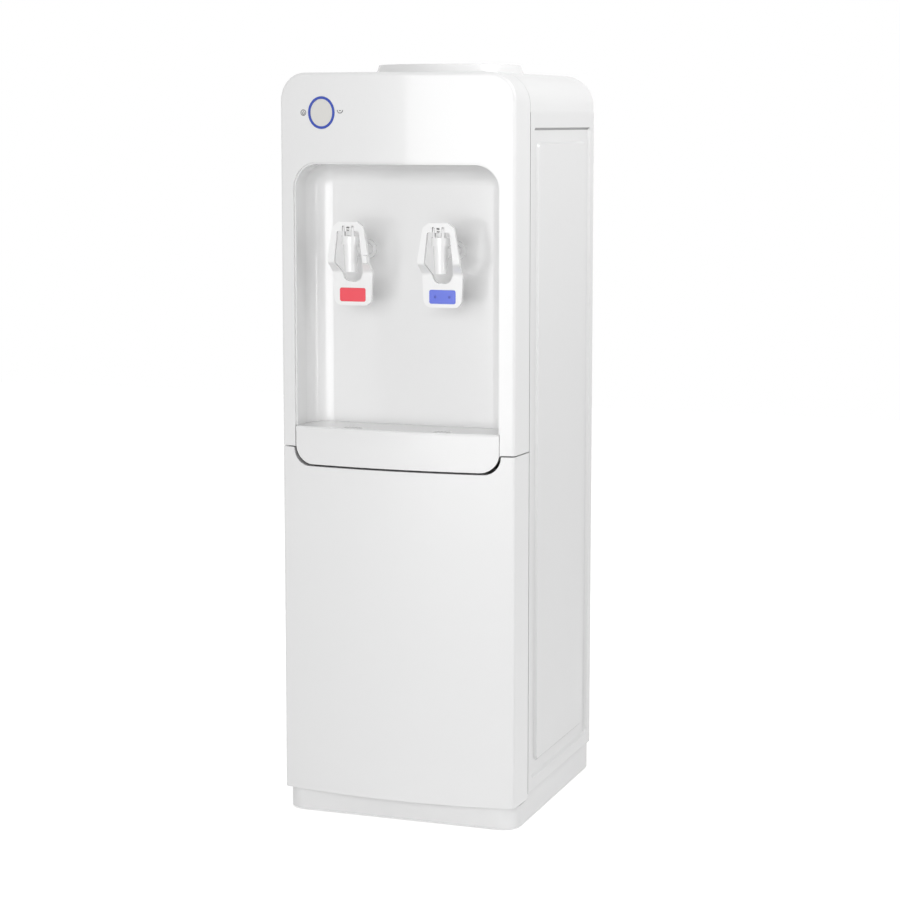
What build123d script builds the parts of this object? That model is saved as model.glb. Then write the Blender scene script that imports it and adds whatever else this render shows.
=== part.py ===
from build123d import *
import os

# Floor-standing hot and cold water dispenser with a bottle seat on top and a storage cabinet below.
# Millimetres. X to the right, Y to the back, Z up. The origin is the middle of the footprint on the floor.

os.makedirs("parts", exist_ok=True)

# ---- overall body ----
body_width = 310.0
body_depth = 332.0
body_height = 927.3
front_bow = 14.4            # how far the middle of the front stands ahead of its two sides
return_depth = 47.0         # side return of the fascia and the door
return_draft = 3.0          # how much the return narrows on each side towards the front
shoulder_radius = 40.0      # top corners at the joint between fascia and cover
face_corner_radius = 33.0   # top corners at the front face
front_edge_radius = 4.5
moulding_wall = 2.8
sheet = 1.2

# ---- heights of the horizontal joints ----
seam_drop = 460.3           # from the top down to the joint between fascia and door
seam_gap = 1.6
door_bottom_z = 30.5
panel_bottom_z = 36.5
cover_drop = 47.8           # from the top down to the cover's lower edge
cover_gap = 0.8
panel_gap = 2.4             # joint between the front mouldings and the steel sides

# ---- plinth and feet ----
plinth_inset = 2.0
plinth_setback = 19.0
plinth_corner = 23.0
plinth_rear_corner = 4.0
plinth_wall = 3.0
foot_height = 2.0
foot_radius = 14.0
foot_inset = 34.0
foot_recess = 1.5

# ---- steel sides ----
emboss = 3.0
emboss_slope = 45.0
inner_gap = 0.2             # between the steel sides and what stands inside them
frame_front_margin = 13.8   # steel left round the sunk frame
frame_rear_margin = 15.4
frame_bottom_margin = 15.5
frame_top_margin = 18.9
frame_band = 20.5           # width of the sunk band between the two frames
frame_corner = 5.0
rear_flange_width = 15.0
flange_gap = 0.6
lip_setback = 1.6           # back panel's lip behind the rear edge, room for screw heads
screw_head_radius = 3.6
screw_head_height = 1.4
screw_radius = 1.8
screw_length = 8.0
screw_inset = 8.0
screw_rows = 4

# ---- back ----
back_recess = 27.0
back_margin = 19.0
bay_top_z = 226.0           # top of the open compressor bay

# ---- tap niche ----
niche_margin = 21.0
niche_top_drop = 108.3
niche_corner = 32.0
niche_depth = 55.0          # from the chord of the front to the back wall
niche_fillet = 26.0
niche_wall = 2.2
tray_top_rise = 26.0        # tray's top above the joint between fascia and door

# ---- drip tray ----
tray_gap = 0.9
tray_depth = 21.0
tray_wall = 2.4
skirt_drop = 21.0
skirt_corner = 24.0
skirt_thickness = 3.0
skirt_setback = 1.1
lip_height = 6.5
lip_radius = 2.6
door_cut_gap = 2.4
door_cut_corner = 21.8
grille_thickness = 2.4
grille_gap = 0.4
slot_width = 2.2
slot_length = 12.0
slot_pitch = 4.4
slots_in_group = 5

# ---- indicator ----
indicator_inset = 61.3
indicator_drop = 48.4
indicator_half_width = 18.4
indicator_half_height = 19.8
indicator_stroke = 3.2
indicator_proud = 0.5
board_gap = 0.1
board_thickness = 4.0
board_margin = 4.0
board_overhang = 16.0       # how far the board reaches past the lens on each side

# ---- taps ----
tap_x = 58.5
tap_setback = 12.0          # spout axis behind the crest of the front
tap_drop = 227.3            # from the top down to the valve seat
spout_length = 14.0         # below the valve seat
barrel_rise = 27.0          # above the valve seat
cap_overlap = 7.4
cap_roof = 3.0
tip_radius = 7.3
barrel_radius = 9.4
cap_radius = 11.2
chamber_radius = 7.4
outlet_radius = 4.4
shank_rise = 11.0           # shank axis above the valve seat
shank_radius = 7.5
shank_bore = 4.0
flange_radius = 12.0
flange_thickness = 3.0
shank_tail = 16.0
barb_length = 10.0
barb_wall = 1.2
barb_root = 3.0             # end wall between the shank's bore and the barb
nut_across_flats = 24.0
nut_thickness = 7.0
nut_gap = 0.1

# ---- paddle, pivot and valve stem ----
pivot_ahead = 6.5           # pivot pin ahead of the spout axis
pivot_rise = 8.5            # above the cap
pivot_radius = 1.5
pivot_clearance = 0.06
blade_half = 1.6
blade_reach = 3.2
side_gap = 0.5
ear_thickness = 2.2
lug_thickness = 2.5
lug_round = 3.0
lift_pin_radius = 1.2
lift_pin_gap = 0.35
stem_radius = 2.4
stem_clearance = 0.3
plug_radius = 6.4
plug_height = 5.0
spring_gap = 0.4
paddle_rise = 9.0           # above the pivot
paddle_length = 103.1
bend_drop = 49.5            # from the paddle's top down to its bend
bend_height = 13.0
loop_ahead = 9.5            # face of the loop ahead of the spout axis
loop_thickness = 5.0
tongue_setback = 15.0
tongue_half_width = 24.0
loop_half_width = 27.0
window_drop = 11.5
window_height = 62.4
window_half_width = 18.5
window_foot_half = 9.5
insert_width = 34.0
insert_height = 17.0
insert_rise = 13.1
insert_corner = 2.5
insert_depth = 1.2
insert_proud = 0.5
button_width = 6.0
button_height = 10.0
button_corner = 1.2
button_floor = 1.2         # paddle left behind the button's pocket
button_rise = 4.0           # above the bend
button_x = 22.2
button_proud = 2.2
button_gap = 0.3
button_travel = 1.6

# ---- bottle seat ----
collar_offset = 0.2         # collar's axis behind the middle of the foam
collar_base_radius = 94.7
collar_top_radius = 90.5
collar_rise = 12.0
collar_rim = 5.0
seat_wall = 2.6
seat_bottom_radius = 34.5
seat_depth = 40.3
cover_hole_radius = 86.0
spigot_radius = 16.0
spigot_length = 21.0
probe_radius = 12.0
probe_wall = 2.6
probe_height = 35.0
probe_flange = 4.0
probe_fit = 0.2

# ---- cabinet ----
door_thickness_gap = 3.0
liner_margin = 16.0
liner_front_gap = 1.0
liner_wall = 2.4
liner_bottom_z = 44.0
liner_drop = 12.0           # liner's roof under the joint between fascia and door
liner_setback = 54.0        # liner's back ahead of the rear edge
liner_flange_lap = 2.0      # how far the liner's flange lies over the flanges of the steel sides
liner_flange_rise = 8.0
hump_depth = 92.0
hump_z = 228.0
hinge_inset_x = 7.0
hinge_inset_y = 13.0
hinge_pin_radius = 2.5
hinge_clearance = 0.06
hinge_pin_length = 9.0
hinge_boss_radius = 5.0
hinge_boss_height = 16.0
hinge_leaf = 1.2
hinge_leaf_width = 24.0
hinge_leaf_inset = 5.0
hinge_leaf_reach = 6.0
hinge_leaf_corner = 3.0
hinge_tab_height = 22.0
magnet_width = 9.0
magnet_height = 44.0
magnet_depth = 16.0
magnet_drop = 75.0
strike_thickness = 1.0
latch_gap = 0.3

# ---- tanks and shelves ----
upper_shelf_drop = 276.3
shelf_lip = 14.0
foam_margin = 73.0
foam_front_gap = 60.6       # between niche and foam, room for the shanks and the hoses
foam_rear_gap = 23.0        # between foam and back panel, room for the pipes
foam_wall = 17.0            # least foam round the coil
foam_drop = 61.3
foam_lid_height = 26.0
foam_corner = 16.0
tank_wall = 1.0
tank_rise = 43.0            # tank above the upper shelf
tank_cover = 6.0            # foam over the tank
tank_gap = 0.3
evaporator_thickness = 5.0
evaporator_rise = 18.0
evaporator_rib = 10.0
evaporator_ribs = 6
hot_tank_inset = 81.0
hot_tank_y = 24.0
hot_tank_radius = 46.0
hot_tank_rise = 32.6        # hot tank above the shelf
hot_tank_headroom = 39.0    # under the upper shelf
hot_tank_corner = 12.0
stand_radius = 32.0
stand_wall = 2.0
heater_band_rise = 1.0      # above the round of the tank's foot
heater_band_gap = 6.0
heater_band_height = 34.0
heater_band_thickness = 4.0
thermostat_radius = 8.0
thermostat_depth = 9.0
thermostat_gap = 3.0
hose_radius = 6.0
hose_bore = 4.0
hose_bend = 13.0
hose_rise_gap = 44.6        # upright hoses behind the niche
hose_level_drop = 21.0
stub_length = 9.0
line_standoff = 13.0        # upright hoses and pipes ahead of the back panel
control_box_gap = 10.0
control_box_width = 50.0
control_box_depth = 90.0
control_box_height = 48.0

# ---- refrigeration ----
compressor_x = -38.0
compressor_setback = 70.0
compressor_radius = 56.0
compressor_plate_z = 50.0
compressor_plate = 2.5
compressor_plate_width = 132.0
compressor_plate_depth = 92.0
compressor_top_z = 200.0
compressor_shoulder = 28.0
weld_flange = 3.0
weld_height = 4.0
grommet_radius = 9.0
grommet_neck = 5.0
relay_width = 22.0
relay_height = 52.0
pipe_radius = 2.4
suction_radius = 3.2
pipe_bend = 9.0
suction_offset = 16.0
discharge_offset = -14.0
condenser_margin = 43.0
condenser_inlet_x = 60.0
condenser_outlet_gap = 12.0
condenser_bottom_z = 300.0
condenser_top_drop = 123.3
condenser_passes = 8
condenser_standoff = 13.0
wire_radius = 0.8
wire_count = 17
wire_edge = 8.0             # last wire inside the tube's bends
wire_overhang = 16.0
bracket_width = 6.0
bracket_height = 14.0
drier_radius = 9.0
drier_length = 90.0
drier_top_z = 196.0
capillary_radius = 1.4
capillary_rise = 46.0       # above the tank's bottom
capillary_x = 64.0

# ---- switches, gland and drain ----
switch_width = 15.0
switch_height = 21.0
switch_z = 262.0
switch_x = 66.0
switch_pitch = 30.0
switch_depth = 15.0
switch_lip = 2.0
rocker_width = 10.0
rocker_height = 15.0
rocker_gap = 0.3
rocker_swing = 8.0          # degrees from the middle to each side
gland_x = 20.0
gland_radius = 8.0
gland_bore = 3.6
gland_length = 9.0
drain_radius = 8.0
drain_bore = 4.0
drain_length = 15.0
drain_cap_wall = 2.0
drain_fit = 0.1

# ---- positions worked out from the sizes ----
half_width = body_width / 2
rear_y = body_depth / 2
crest_y = -rear_y
chord_y = crest_y + front_bow
joint_y = chord_y + return_depth
front_half = half_width - return_draft
bow_radius = (front_half ** 2 + front_bow ** 2) / (2 * front_bow)
bow_centre_y = crest_y + bow_radius
panel_front_y = joint_y + panel_gap
niche_back_y = chord_y + niche_depth
recess_y = rear_y - back_recess
line_y = recess_y - line_standoff
inner_half = half_width - emboss - sheet - inner_gap
back_half_width = half_width - back_margin

seam_z = body_height - seam_drop
cover_skirt_z = body_height - cover_drop
fascia_bottom_z = seam_z + seam_gap / 2
door_top_z = seam_z - seam_gap / 2
low_top_z = door_bottom_z - seam_gap

niche_half_width = half_width - niche_margin
niche_top_z = body_height - niche_top_drop
tray_top_z = seam_z + tray_top_rise
tray_floor_z = tray_top_z - tray_depth
skirt_bottom_z = seam_z - skirt_drop
niche_floor_z = tray_floor_z - tray_wall - tray_gap
indicator_x = indicator_inset - half_width
indicator_z = body_height - indicator_drop

tap_axis_y = crest_y + tap_setback
seat_z = body_height - tap_drop
tip_z = seat_z - spout_length
barrel_top_z = seat_z + barrel_rise
cap_bottom_z = barrel_top_z - cap_overlap
cap_top_z = barrel_top_z + cap_roof
shank_z = seat_z + shank_rise
pivot_z = cap_top_z + pivot_rise
loop_front_y = tap_axis_y - loop_ahead
paddle_top_z = pivot_z + paddle_rise
paddle_bottom_z = paddle_top_z - paddle_length
paddle_bend_top_z = paddle_top_z - bend_drop
paddle_bend_bottom_z = paddle_bend_top_z - bend_height
window_top_z = paddle_top_z - window_drop
window_bottom_z = window_top_z - window_height
insert_centre_z = paddle_bottom_z + insert_rise
button_z = paddle_bend_top_z + button_rise

foam_front_y = niche_back_y + foam_front_gap
foam_rear_y = recess_y - foam_rear_gap
tank_radius = (foam_rear_y - foam_front_y) / 2 - foam_wall - evaporator_thickness
collar_y = (foam_front_y + foam_rear_y) / 2 + collar_offset
seat_bottom_z = body_height - seat_depth
spigot_bottom_z = seat_bottom_z - spigot_length
probe_top_z = seat_bottom_z + probe_height

liner_half_width = half_width - liner_margin
liner_top_z = seam_z - liner_drop
liner_deep_y = rear_y - liner_setback
hump_y = liner_deep_y - hump_depth
flange_x = liner_half_width + liner_wall + flange_gap
hinge_x = half_width - hinge_inset_x
hinge_y = joint_y - hinge_inset_y
door_back_y = joint_y - door_thickness_gap
magnet_z = liner_top_z - magnet_drop

shelf_z = liner_top_z + liner_wall
shelf_back_y = liner_deep_y
upper_shelf_z = body_height - upper_shelf_drop
foam_half_width = half_width - foam_margin
foam_top_z = body_height - foam_drop
foam_split_z = foam_top_z - foam_lid_height
tank_bottom_z = upper_shelf_z + tank_rise
tank_top_z = foam_top_z - tank_cover
evaporator_bottom_z = tank_bottom_z + evaporator_rise
hot_tank_x = hot_tank_inset - half_width
hot_tank_bottom_z = shelf_z + hot_tank_rise
hot_tank_top_z = upper_shelf_z - hot_tank_headroom
heater_band_z = hot_tank_bottom_z + hot_tank_corner + heater_band_rise
thermostat_z = heater_band_z + heater_band_height + thermostat_gap + thermostat_radius
hose_rise_y = niche_back_y + hose_rise_gap
hose_level_z = upper_shelf_z - hose_level_drop
control_box_x0 = foam_half_width + control_box_gap

compressor_y = rear_y - compressor_setback
suction_x = compressor_x + suction_offset
discharge_x = compressor_x + discharge_offset
condenser_y = recess_y + condenser_standoff
condenser_half_width = half_width - condenser_margin
condenser_outlet_x = condenser_half_width + condenser_outlet_gap
condenser_pitch = (body_height - condenser_top_drop - condenser_bottom_z) / (condenser_passes - 1)
wire_pitch = 2 * (condenser_half_width - wire_edge) / (wire_count - 1)
capillary_z = tank_bottom_z + capillary_rise
drain_x = hot_tank_x
drain_z = switch_z


# ---- plain forms ----
def block(x0, x1, y0, y1, z0, z1):
    """Box between two opposite corners."""
    centre = Pos((x0 + x1) / 2, (y0 + y1) / 2, (z0 + z1) / 2)
    return centre * Box(x1 - x0, y1 - y0, z1 - z0)


def rod_x(x0, x1, y, z, radius):
    return Pos((x0 + x1) / 2, y, z) * Rot(0, 90, 0) * Cylinder(radius, x1 - x0)


def rod_y(x, y0, y1, z, radius):
    return Pos(x, (y0 + y1) / 2, z) * Rot(90, 0, 0) * Cylinder(radius, y1 - y0)


def rod_z(x, y, z0, z1, radius):
    return Pos(x, y, (z0 + z1) / 2) * Cylinder(radius, z1 - z0)


def facing_front(y):
    """Plane across the body: sketch X is the width and sketch Y is the height, extruded forwards."""
    return Plane(origin=(0, y, 0), x_dir=(1, 0, 0), z_dir=(0, -1, 0))


def facing_right(x):
    """Plane along the body: sketch X is the depth and sketch Y is the height, extruded to the right."""
    return Plane(origin=(x, 0, 0), x_dir=(0, 1, 0), z_dir=(1, 0, 0))


def turned(points, x, y):
    """Solid of revolution about an upright axis from (radius, height) points."""
    outline = facing_front(0) * make_face(Polyline(*points, close=True))
    return Pos(x, y, 0) * revolve(outline, Axis.Z)


def arch(half, z0, z1, corner):
    """Upright rectangle with its two top corners rounded."""
    outline = Pos(0, (z0 + z1) / 2) * Rectangle(2 * half, z1 - z0)
    if corner <= 0:
        return outline
    return fillet(outline.vertices().group_by(Axis.Y)[-1], corner)


def bow_body(inset, z0, z1):
    """Everything behind the bowed front surface, moved back by an inset."""
    return rod_z(0, bow_centre_y, z0, z1, bow_radius - inset)


def front_form(z0, z1, corner, inset):
    """Body of a front moulding: it narrows forwards and ends in the bowed front."""
    reach = joint_y - crest_y + 5
    taper = return_draft / return_depth
    corner_taper = (shoulder_radius - face_corner_radius) / return_depth
    nose_corner = corner - corner_taper * reach - inset if corner else 0
    rear = facing_front(joint_y) * arch(half_width - inset, z0, z1 - inset, corner - inset if corner else 0)
    nose_outline = arch(half_width - taper * reach - inset, z0, z1 - inset, nose_corner)
    nose = facing_front(joint_y - reach) * nose_outline
    return loft([rear, nose], ruled=True) & bow_body(inset, z0 - 1, z1 + 1)


def edges_above(face, z):
    """Edges round a face, without the one at its foot."""
    return [edge for edge in face.edges() if edge.center().Z > z + 1]


def slot_rows(x, z0, rows, pitch, length, width, y):
    """Upright stack of level slots, cut through a wall at y."""
    slots = []
    for row in range(rows):
        outline = Pos(x, z0 + row * pitch) * SlotOverall(length, width)
        slots.append(extrude(facing_front(y) * outline, amount=4 * sheet, both=True))
    return slots


def bent_tube(points, radii, outer, bore):
    """Tube along straight runs joined by arcs."""
    path = FilletPolyline(*points, radius=radii)
    start = Plane(origin=path @ 0, z_dir=path % 0)
    section = Circle(outer) - Circle(bore) if bore else Circle(outer)
    return sweep(start * section, path=path)


# ---- plinth and feet ----
def base_plinth():
    """Moulded base: a low front under the door and a higher deck under the steel body."""
    outer = plinth_plan(0, panel_bottom_z)
    outer -= block(-half_width, half_width, crest_y, panel_front_y, low_top_z, panel_bottom_z + 1)
    body = outer - plinth_plan(plinth_wall, low_top_z - plinth_wall)
    for x, y in foot_places():
        body += rod_z(x, y, foot_height, low_top_z - plinth_wall, foot_radius + plinth_wall)
        body -= rod_z(x, y, foot_height - 1, foot_height + foot_recess, foot_radius + 0.2)
    return body


def plinth_plan(inset, top_z):
    """Outline of the base up to a height: well rounded in front and nearly square behind."""
    half = half_width - plinth_inset - inset
    front_y = crest_y + plinth_setback + inset
    back_y = rear_y - plinth_inset - inset
    outline = Pos(0, (front_y + back_y) / 2) * RectangleRounded(2 * half, back_y - front_y,
                                                               plinth_corner - inset)
    rear = RectangleRounded(2 * half, back_y - joint_y, plinth_rear_corner - inset)
    outline += Pos(0, (joint_y + back_y) / 2) * rear
    return extrude(Pos(0, 0, foot_height) * outline, amount=top_z - foot_height)


def foot_places():
    front_y = crest_y + plinth_setback + foot_inset
    back_y = rear_y - plinth_inset - foot_inset
    side = half_width - plinth_inset - foot_inset
    return [(-side, front_y), (side, front_y), (-side, back_y), (side, back_y)]


def feet():
    pads = []
    for x, y in foot_places():
        pad = rod_z(x, y, 0, foot_height + foot_recess, foot_radius)
        pads.append(chamfer(pad.edges().sort_by(Axis.Z)[0], 0.6))
    return pads


# ---- steel body ----
def side_panel_right():
    """Pressed steel side with a sunk frame round a raised field, and inward flanges."""
    front_y = panel_front_y + frame_front_margin
    back_y = rear_y - frame_rear_margin
    low_z = panel_bottom_z + frame_bottom_margin
    high_z = cover_skirt_z - frame_top_margin
    middle_y = (front_y + back_y) / 2
    middle_z = (low_z + high_z) / 2
    frame_width = back_y - front_y
    frame_height = high_z - low_z
    field_width = frame_width - 2 * frame_band
    field_height = frame_height - 2 * frame_band
    back = half_width - 4 * emboss
    form = block(back, half_width, panel_front_y, rear_y, panel_bottom_z, cover_skirt_z)
    inward = Plane(origin=(half_width, middle_y, middle_z), x_dir=(0, -1, 0), z_dir=(-1, 0, 0))
    frame = inward * RectangleRounded(frame_width, frame_height, frame_corner)
    form -= extrude(frame, amount=emboss, taper=emboss_slope)
    outward = Plane(origin=(half_width - emboss, middle_y, middle_z), x_dir=(0, 1, 0), z_dir=(1, 0, 0))
    foot = RectangleRounded(field_width + 2 * emboss, field_height + 2 * emboss, frame_corner + emboss)
    form += extrude(outward * foot, amount=emboss, taper=emboss_slope)
    panel = form - Pos(-sheet, 0, 0) * form
    inner_x = half_width - sheet
    rear_x = half_width - rear_flange_width
    rear_flange_y = rear_y - lip_setback - sheet
    panel += block(flange_x, inner_x, panel_front_y, panel_front_y + sheet, panel_bottom_z, cover_skirt_z)
    panel += block(rear_x, inner_x, rear_flange_y - sheet, rear_flange_y, panel_bottom_z, cover_skirt_z)
    for z in screw_heights():
        panel -= rod_y(half_width - screw_inset, rear_flange_y - 9, rear_flange_y + 1, z, screw_radius)
    return panel


def screw_heights():
    """Heights of the screws down each side of the back panel."""
    low = bay_top_z + 2 * screw_inset
    step = (cover_skirt_z - 2 * screw_inset - low) / (screw_rows - 1)
    return [low + row * step for row in range(screw_rows)]


def rear_panel():
    """Steel back above the compressor bay, set in like a pan so that the condenser stands inside it."""
    top_z = cover_skirt_z - cover_gap
    lip_half = half_width - sheet - inner_gap
    lip_y = rear_y - lip_setback
    pan = block(-lip_half, lip_half, lip_y - sheet, lip_y, bay_top_z, top_z)
    pan_half = back_half_width
    pan += block(-pan_half - sheet, pan_half + sheet, recess_y - sheet, lip_y, bay_top_z, top_z)
    pan -= block(-pan_half, pan_half, recess_y, rear_y + 1, bay_top_z + sheet, top_z - sheet)
    for x in (-pan_half / 2, pan_half / 2):
        for slot in slot_rows(x, top_z - 44, 3, 10, pan_half * 0.6, 4, recess_y):
            pan -= slot
    for x in switch_places():
        pan -= switch_form(x, inner_gap / 2, recess_y - 9, recess_y + 9)
    for x, radius in ((gland_x, gland_radius), (drain_x, drain_radius)):
        pan -= rod_y(x, recess_y - 9, recess_y + 9, switch_z, radius + inner_gap / 2)
    for x in (condenser_inlet_x, condenser_outlet_x):
        pan -= rod_z(x, condenser_y, bay_top_z - 1, bay_top_z + 2 * sheet, pipe_radius + 1)
    for side in (-1, 1):
        for z in screw_heights():
            x = side * (half_width - screw_inset)
            pan -= rod_y(x, lip_y - 9, lip_y + 9, z, screw_radius)
    return pan


def panel_screws():
    """Screws of the back panel, with low round heads."""
    screws = []
    lip_y = rear_y - lip_setback
    for side in (-1, 1):
        for z in screw_heights():
            x = side * (half_width - screw_inset)
            head = rod_y(x, lip_y, lip_y + screw_head_height, z, screw_head_radius)
            head = chamfer(head.edges().sort_by(Axis.Y)[-1], screw_head_height * 0.5)
            screws.append(head + rod_y(x, lip_y - screw_length, lip_y, z, screw_radius))
    return screws


def mid_shelf():
    """Steel shelf over the cabinet liner; it carries the hot tank."""
    front = niche_back_y + niche_wall + liner_front_gap
    return block(-inner_half, inner_half, front, shelf_back_y, shelf_z, shelf_z + sheet)


def upper_shelf():
    """Folded steel shelf under the insulated cold tank, with openings for the hoses."""
    front = foam_front_y - 4
    shelf = block(-inner_half, inner_half, front, shelf_back_y, upper_shelf_z - sheet, upper_shelf_z)
    shelf += block(-inner_half, inner_half, front, front + sheet, upper_shelf_z - shelf_lip,
                   upper_shelf_z)
    for x, y in (cold_outlet(), supply_outlet()):
        shelf -= rod_z(x, y, upper_shelf_z - 9, upper_shelf_z + 9, hose_radius + 2)
    return shelf


# ---- top ----
def top_cover():
    """Moulded top with round shoulders and the hole for the bottle seat."""
    front_y = joint_y + cover_gap
    body = extrude(facing_front(rear_y) * arch(half_width, cover_skirt_z, body_height, shoulder_radius),
                   amount=rear_y - front_y)
    body = fillet(edges_above(body.faces().sort_by(Axis.Y)[-1], cover_skirt_z), moulding_wall)
    inner = arch(half_width - moulding_wall, cover_skirt_z - 1, body_height - moulding_wall,
                 shoulder_radius - moulding_wall)
    body -= extrude(facing_front(rear_y - moulding_wall) * inner, amount=rear_y - moulding_wall - front_y)
    body -= rod_z(0, collar_y, body_height - 9, body_height + 1, cover_hole_radius)
    return body


def bottle_seat():
    """Lift-off collar and funnel that the bottle's shoulder sits in."""
    rim_z = body_height + collar_rise
    rim_inner = collar_top_radius - collar_rim
    low = seat_bottom_z
    probe_hole = probe_radius + probe_fit
    points = [
        (collar_base_radius, body_height), (collar_top_radius, rim_z), (rim_inner, rim_z),
        (seat_bottom_radius, low), (probe_hole, low), (probe_hole, spigot_bottom_z),
        (spigot_radius, spigot_bottom_z), (spigot_radius, low - seat_wall),
        (seat_bottom_radius + seat_wall / 2, low - seat_wall),
        (rim_inner - seat_wall / 2, rim_z - 2 * seat_wall),
        (collar_top_radius - seat_wall / 2, rim_z - 2 * seat_wall),
        (collar_base_radius - seat_wall, body_height)]
    return turned(points, 0, collar_y)


def bottle_probe():
    """Upright feed tube that opens the bottle's neck plug; it has a round nose and side windows."""
    bore = probe_radius - probe_wall
    outer = rod_z(0, collar_y, spigot_bottom_z + 1, probe_top_z, probe_radius)
    outer = fillet(outer.edges().sort_by(Axis.Z)[-1], probe_radius * 0.6)
    outer += rod_z(0, collar_y, seat_bottom_z, seat_bottom_z + seat_wall, probe_radius + probe_flange)
    probe = outer - rod_z(0, collar_y, spigot_bottom_z, probe_top_z - 2 * probe_wall, bore)
    window_z = (seat_bottom_z + seat_wall + probe_top_z) / 2
    window_half = probe_height / 4
    window = block(-bore / 2, bore / 2, collar_y - 2 * probe_radius, collar_y + 2 * probe_radius,
                   window_z - window_half, window_z + window_half)
    probe -= window
    probe -= Pos(0, collar_y, 0) * Rot(0, 0, 90) * Pos(0, -collar_y, 0) * window
    return probe


def tank_seal():
    """Rubber ring between the seat's spigot and the tank's mouth."""
    return turned([(spigot_radius + 0.3, tank_top_z), (spigot_radius + 5, tank_top_z),
                   (spigot_radius + 5, foam_top_z), (spigot_radius + 2, foam_top_z + 4),
                   (spigot_radius + 0.3, foam_top_z + 4)], 0, collar_y)


# ---- front ----
def front_fascia():
    """Upper front moulding: an arch whose two legs run down beside the tap niche and the tray."""
    outer = front_form(fascia_bottom_z, body_height, shoulder_radius, 0)
    outer = fillet(edges_above(outer.faces().sort_by(Axis.Y)[0], fascia_bottom_z), front_edge_radius)
    shell = outer - front_form(fascia_bottom_z - 1, body_height, shoulder_radius, moulding_wall)
    opening = arch(niche_half_width, fascia_bottom_z - 5, niche_top_z, niche_corner)
    shell -= extrude(facing_front(joint_y) * opening, amount=return_depth + front_bow + 5)
    hole = Pos(indicator_x, indicator_z) * Ellipse(indicator_half_width, indicator_half_height)
    shell -= extrude(facing_front(joint_y) * hole, amount=return_depth + front_bow + 5)
    return shell


def niche_form(grow):
    """Space of the tap niche, or the same form grown by a wall."""
    floor_z = niche_floor_z
    outline = arch(niche_half_width - niche_wall + grow, floor_z - grow, niche_top_z - niche_wall + grow,
                   niche_corner - niche_wall + grow)
    back = niche_back_y + grow
    form = extrude(facing_front(back) * outline, amount=back - crest_y + 1)
    form = fillet(edges_above(form.faces().sort_by(Axis.Y)[-1], floor_z), niche_fillet + grow)
    return form & bow_body(moulding_wall + 0.2, floor_z - 9, niche_top_z + 9)


def tap_niche():
    """Moulded niche behind the fascia, with round inner corners, a floor for the tray and two tap holes."""
    liner = niche_form(niche_wall) - niche_form(0)
    band_top = tray_top_z + tray_gap
    front_band = block(-half_width, half_width, crest_y, joint_y, niche_floor_z - 9, band_top)
    behind_skirt = skirt_setback + skirt_thickness + tray_gap / 2
    liner -= front_band - bow_body(behind_skirt, niche_floor_z - 10, band_top + 1)
    for x in (-tap_x, tap_x):
        liner -= rod_y(x, niche_back_y - 9, niche_back_y + 9, shank_z, shank_radius + inner_gap / 2)
    return liner


def indicator_ring():
    """Blue light ring, flush in the fascia."""
    outer = Ellipse(indicator_half_width - 0.1, indicator_half_height - 0.1)
    inner = Ellipse(indicator_half_width - indicator_stroke, indicator_half_height - indicator_stroke)
    return indicator_piece(outer - inner, -indicator_proud)


def indicator_lens():
    """Frosted lens inside the ring."""
    return indicator_piece(Ellipse(indicator_half_width - indicator_stroke - 0.1,
                                   indicator_half_height - indicator_stroke - 0.1), 0)


def indicator_piece(outline, inset):
    column = extrude(facing_front(joint_y) * Pos(indicator_x, indicator_z) * outline,
                     amount=return_depth + front_bow + 5)
    z0 = indicator_z - indicator_half_height - 1
    z1 = indicator_z + indicator_half_height + 1
    return column & (bow_body(inset, z0, z1) - bow_body(moulding_wall, z0 - 1, z1 + 1))


def indicator_board():
    """Lamp board seated behind the lens."""
    z0 = indicator_z - indicator_half_height - board_margin
    z1 = indicator_z + indicator_half_height + board_margin
    half = indicator_half_width + board_overhang
    slab = block(indicator_x - half, indicator_x + half, crest_y, joint_y, z0, z1)
    front = moulding_wall + board_gap
    return slab & (bow_body(front, z0, z1) - bow_body(front + board_thickness, z0 - 1, z1 + 1))


# ---- drip tray ----
def tray_plan(inset, z0, z1):
    """Plan of the tray in the niche, rounded at the back and bowed in front."""
    half = niche_half_width - niche_wall - tray_gap - inset
    back = niche_back_y - tray_gap - inset
    corner = niche_fillet - tray_gap - inset
    outline = Pos(0, (back + crest_y) / 2) * Rectangle(2 * half, back - crest_y)
    outline = fillet(outline.vertices().group_by(Axis.Y)[-1], corner)
    return extrude(Pos(0, 0, z0) * outline, amount=z1 - z0)


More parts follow.
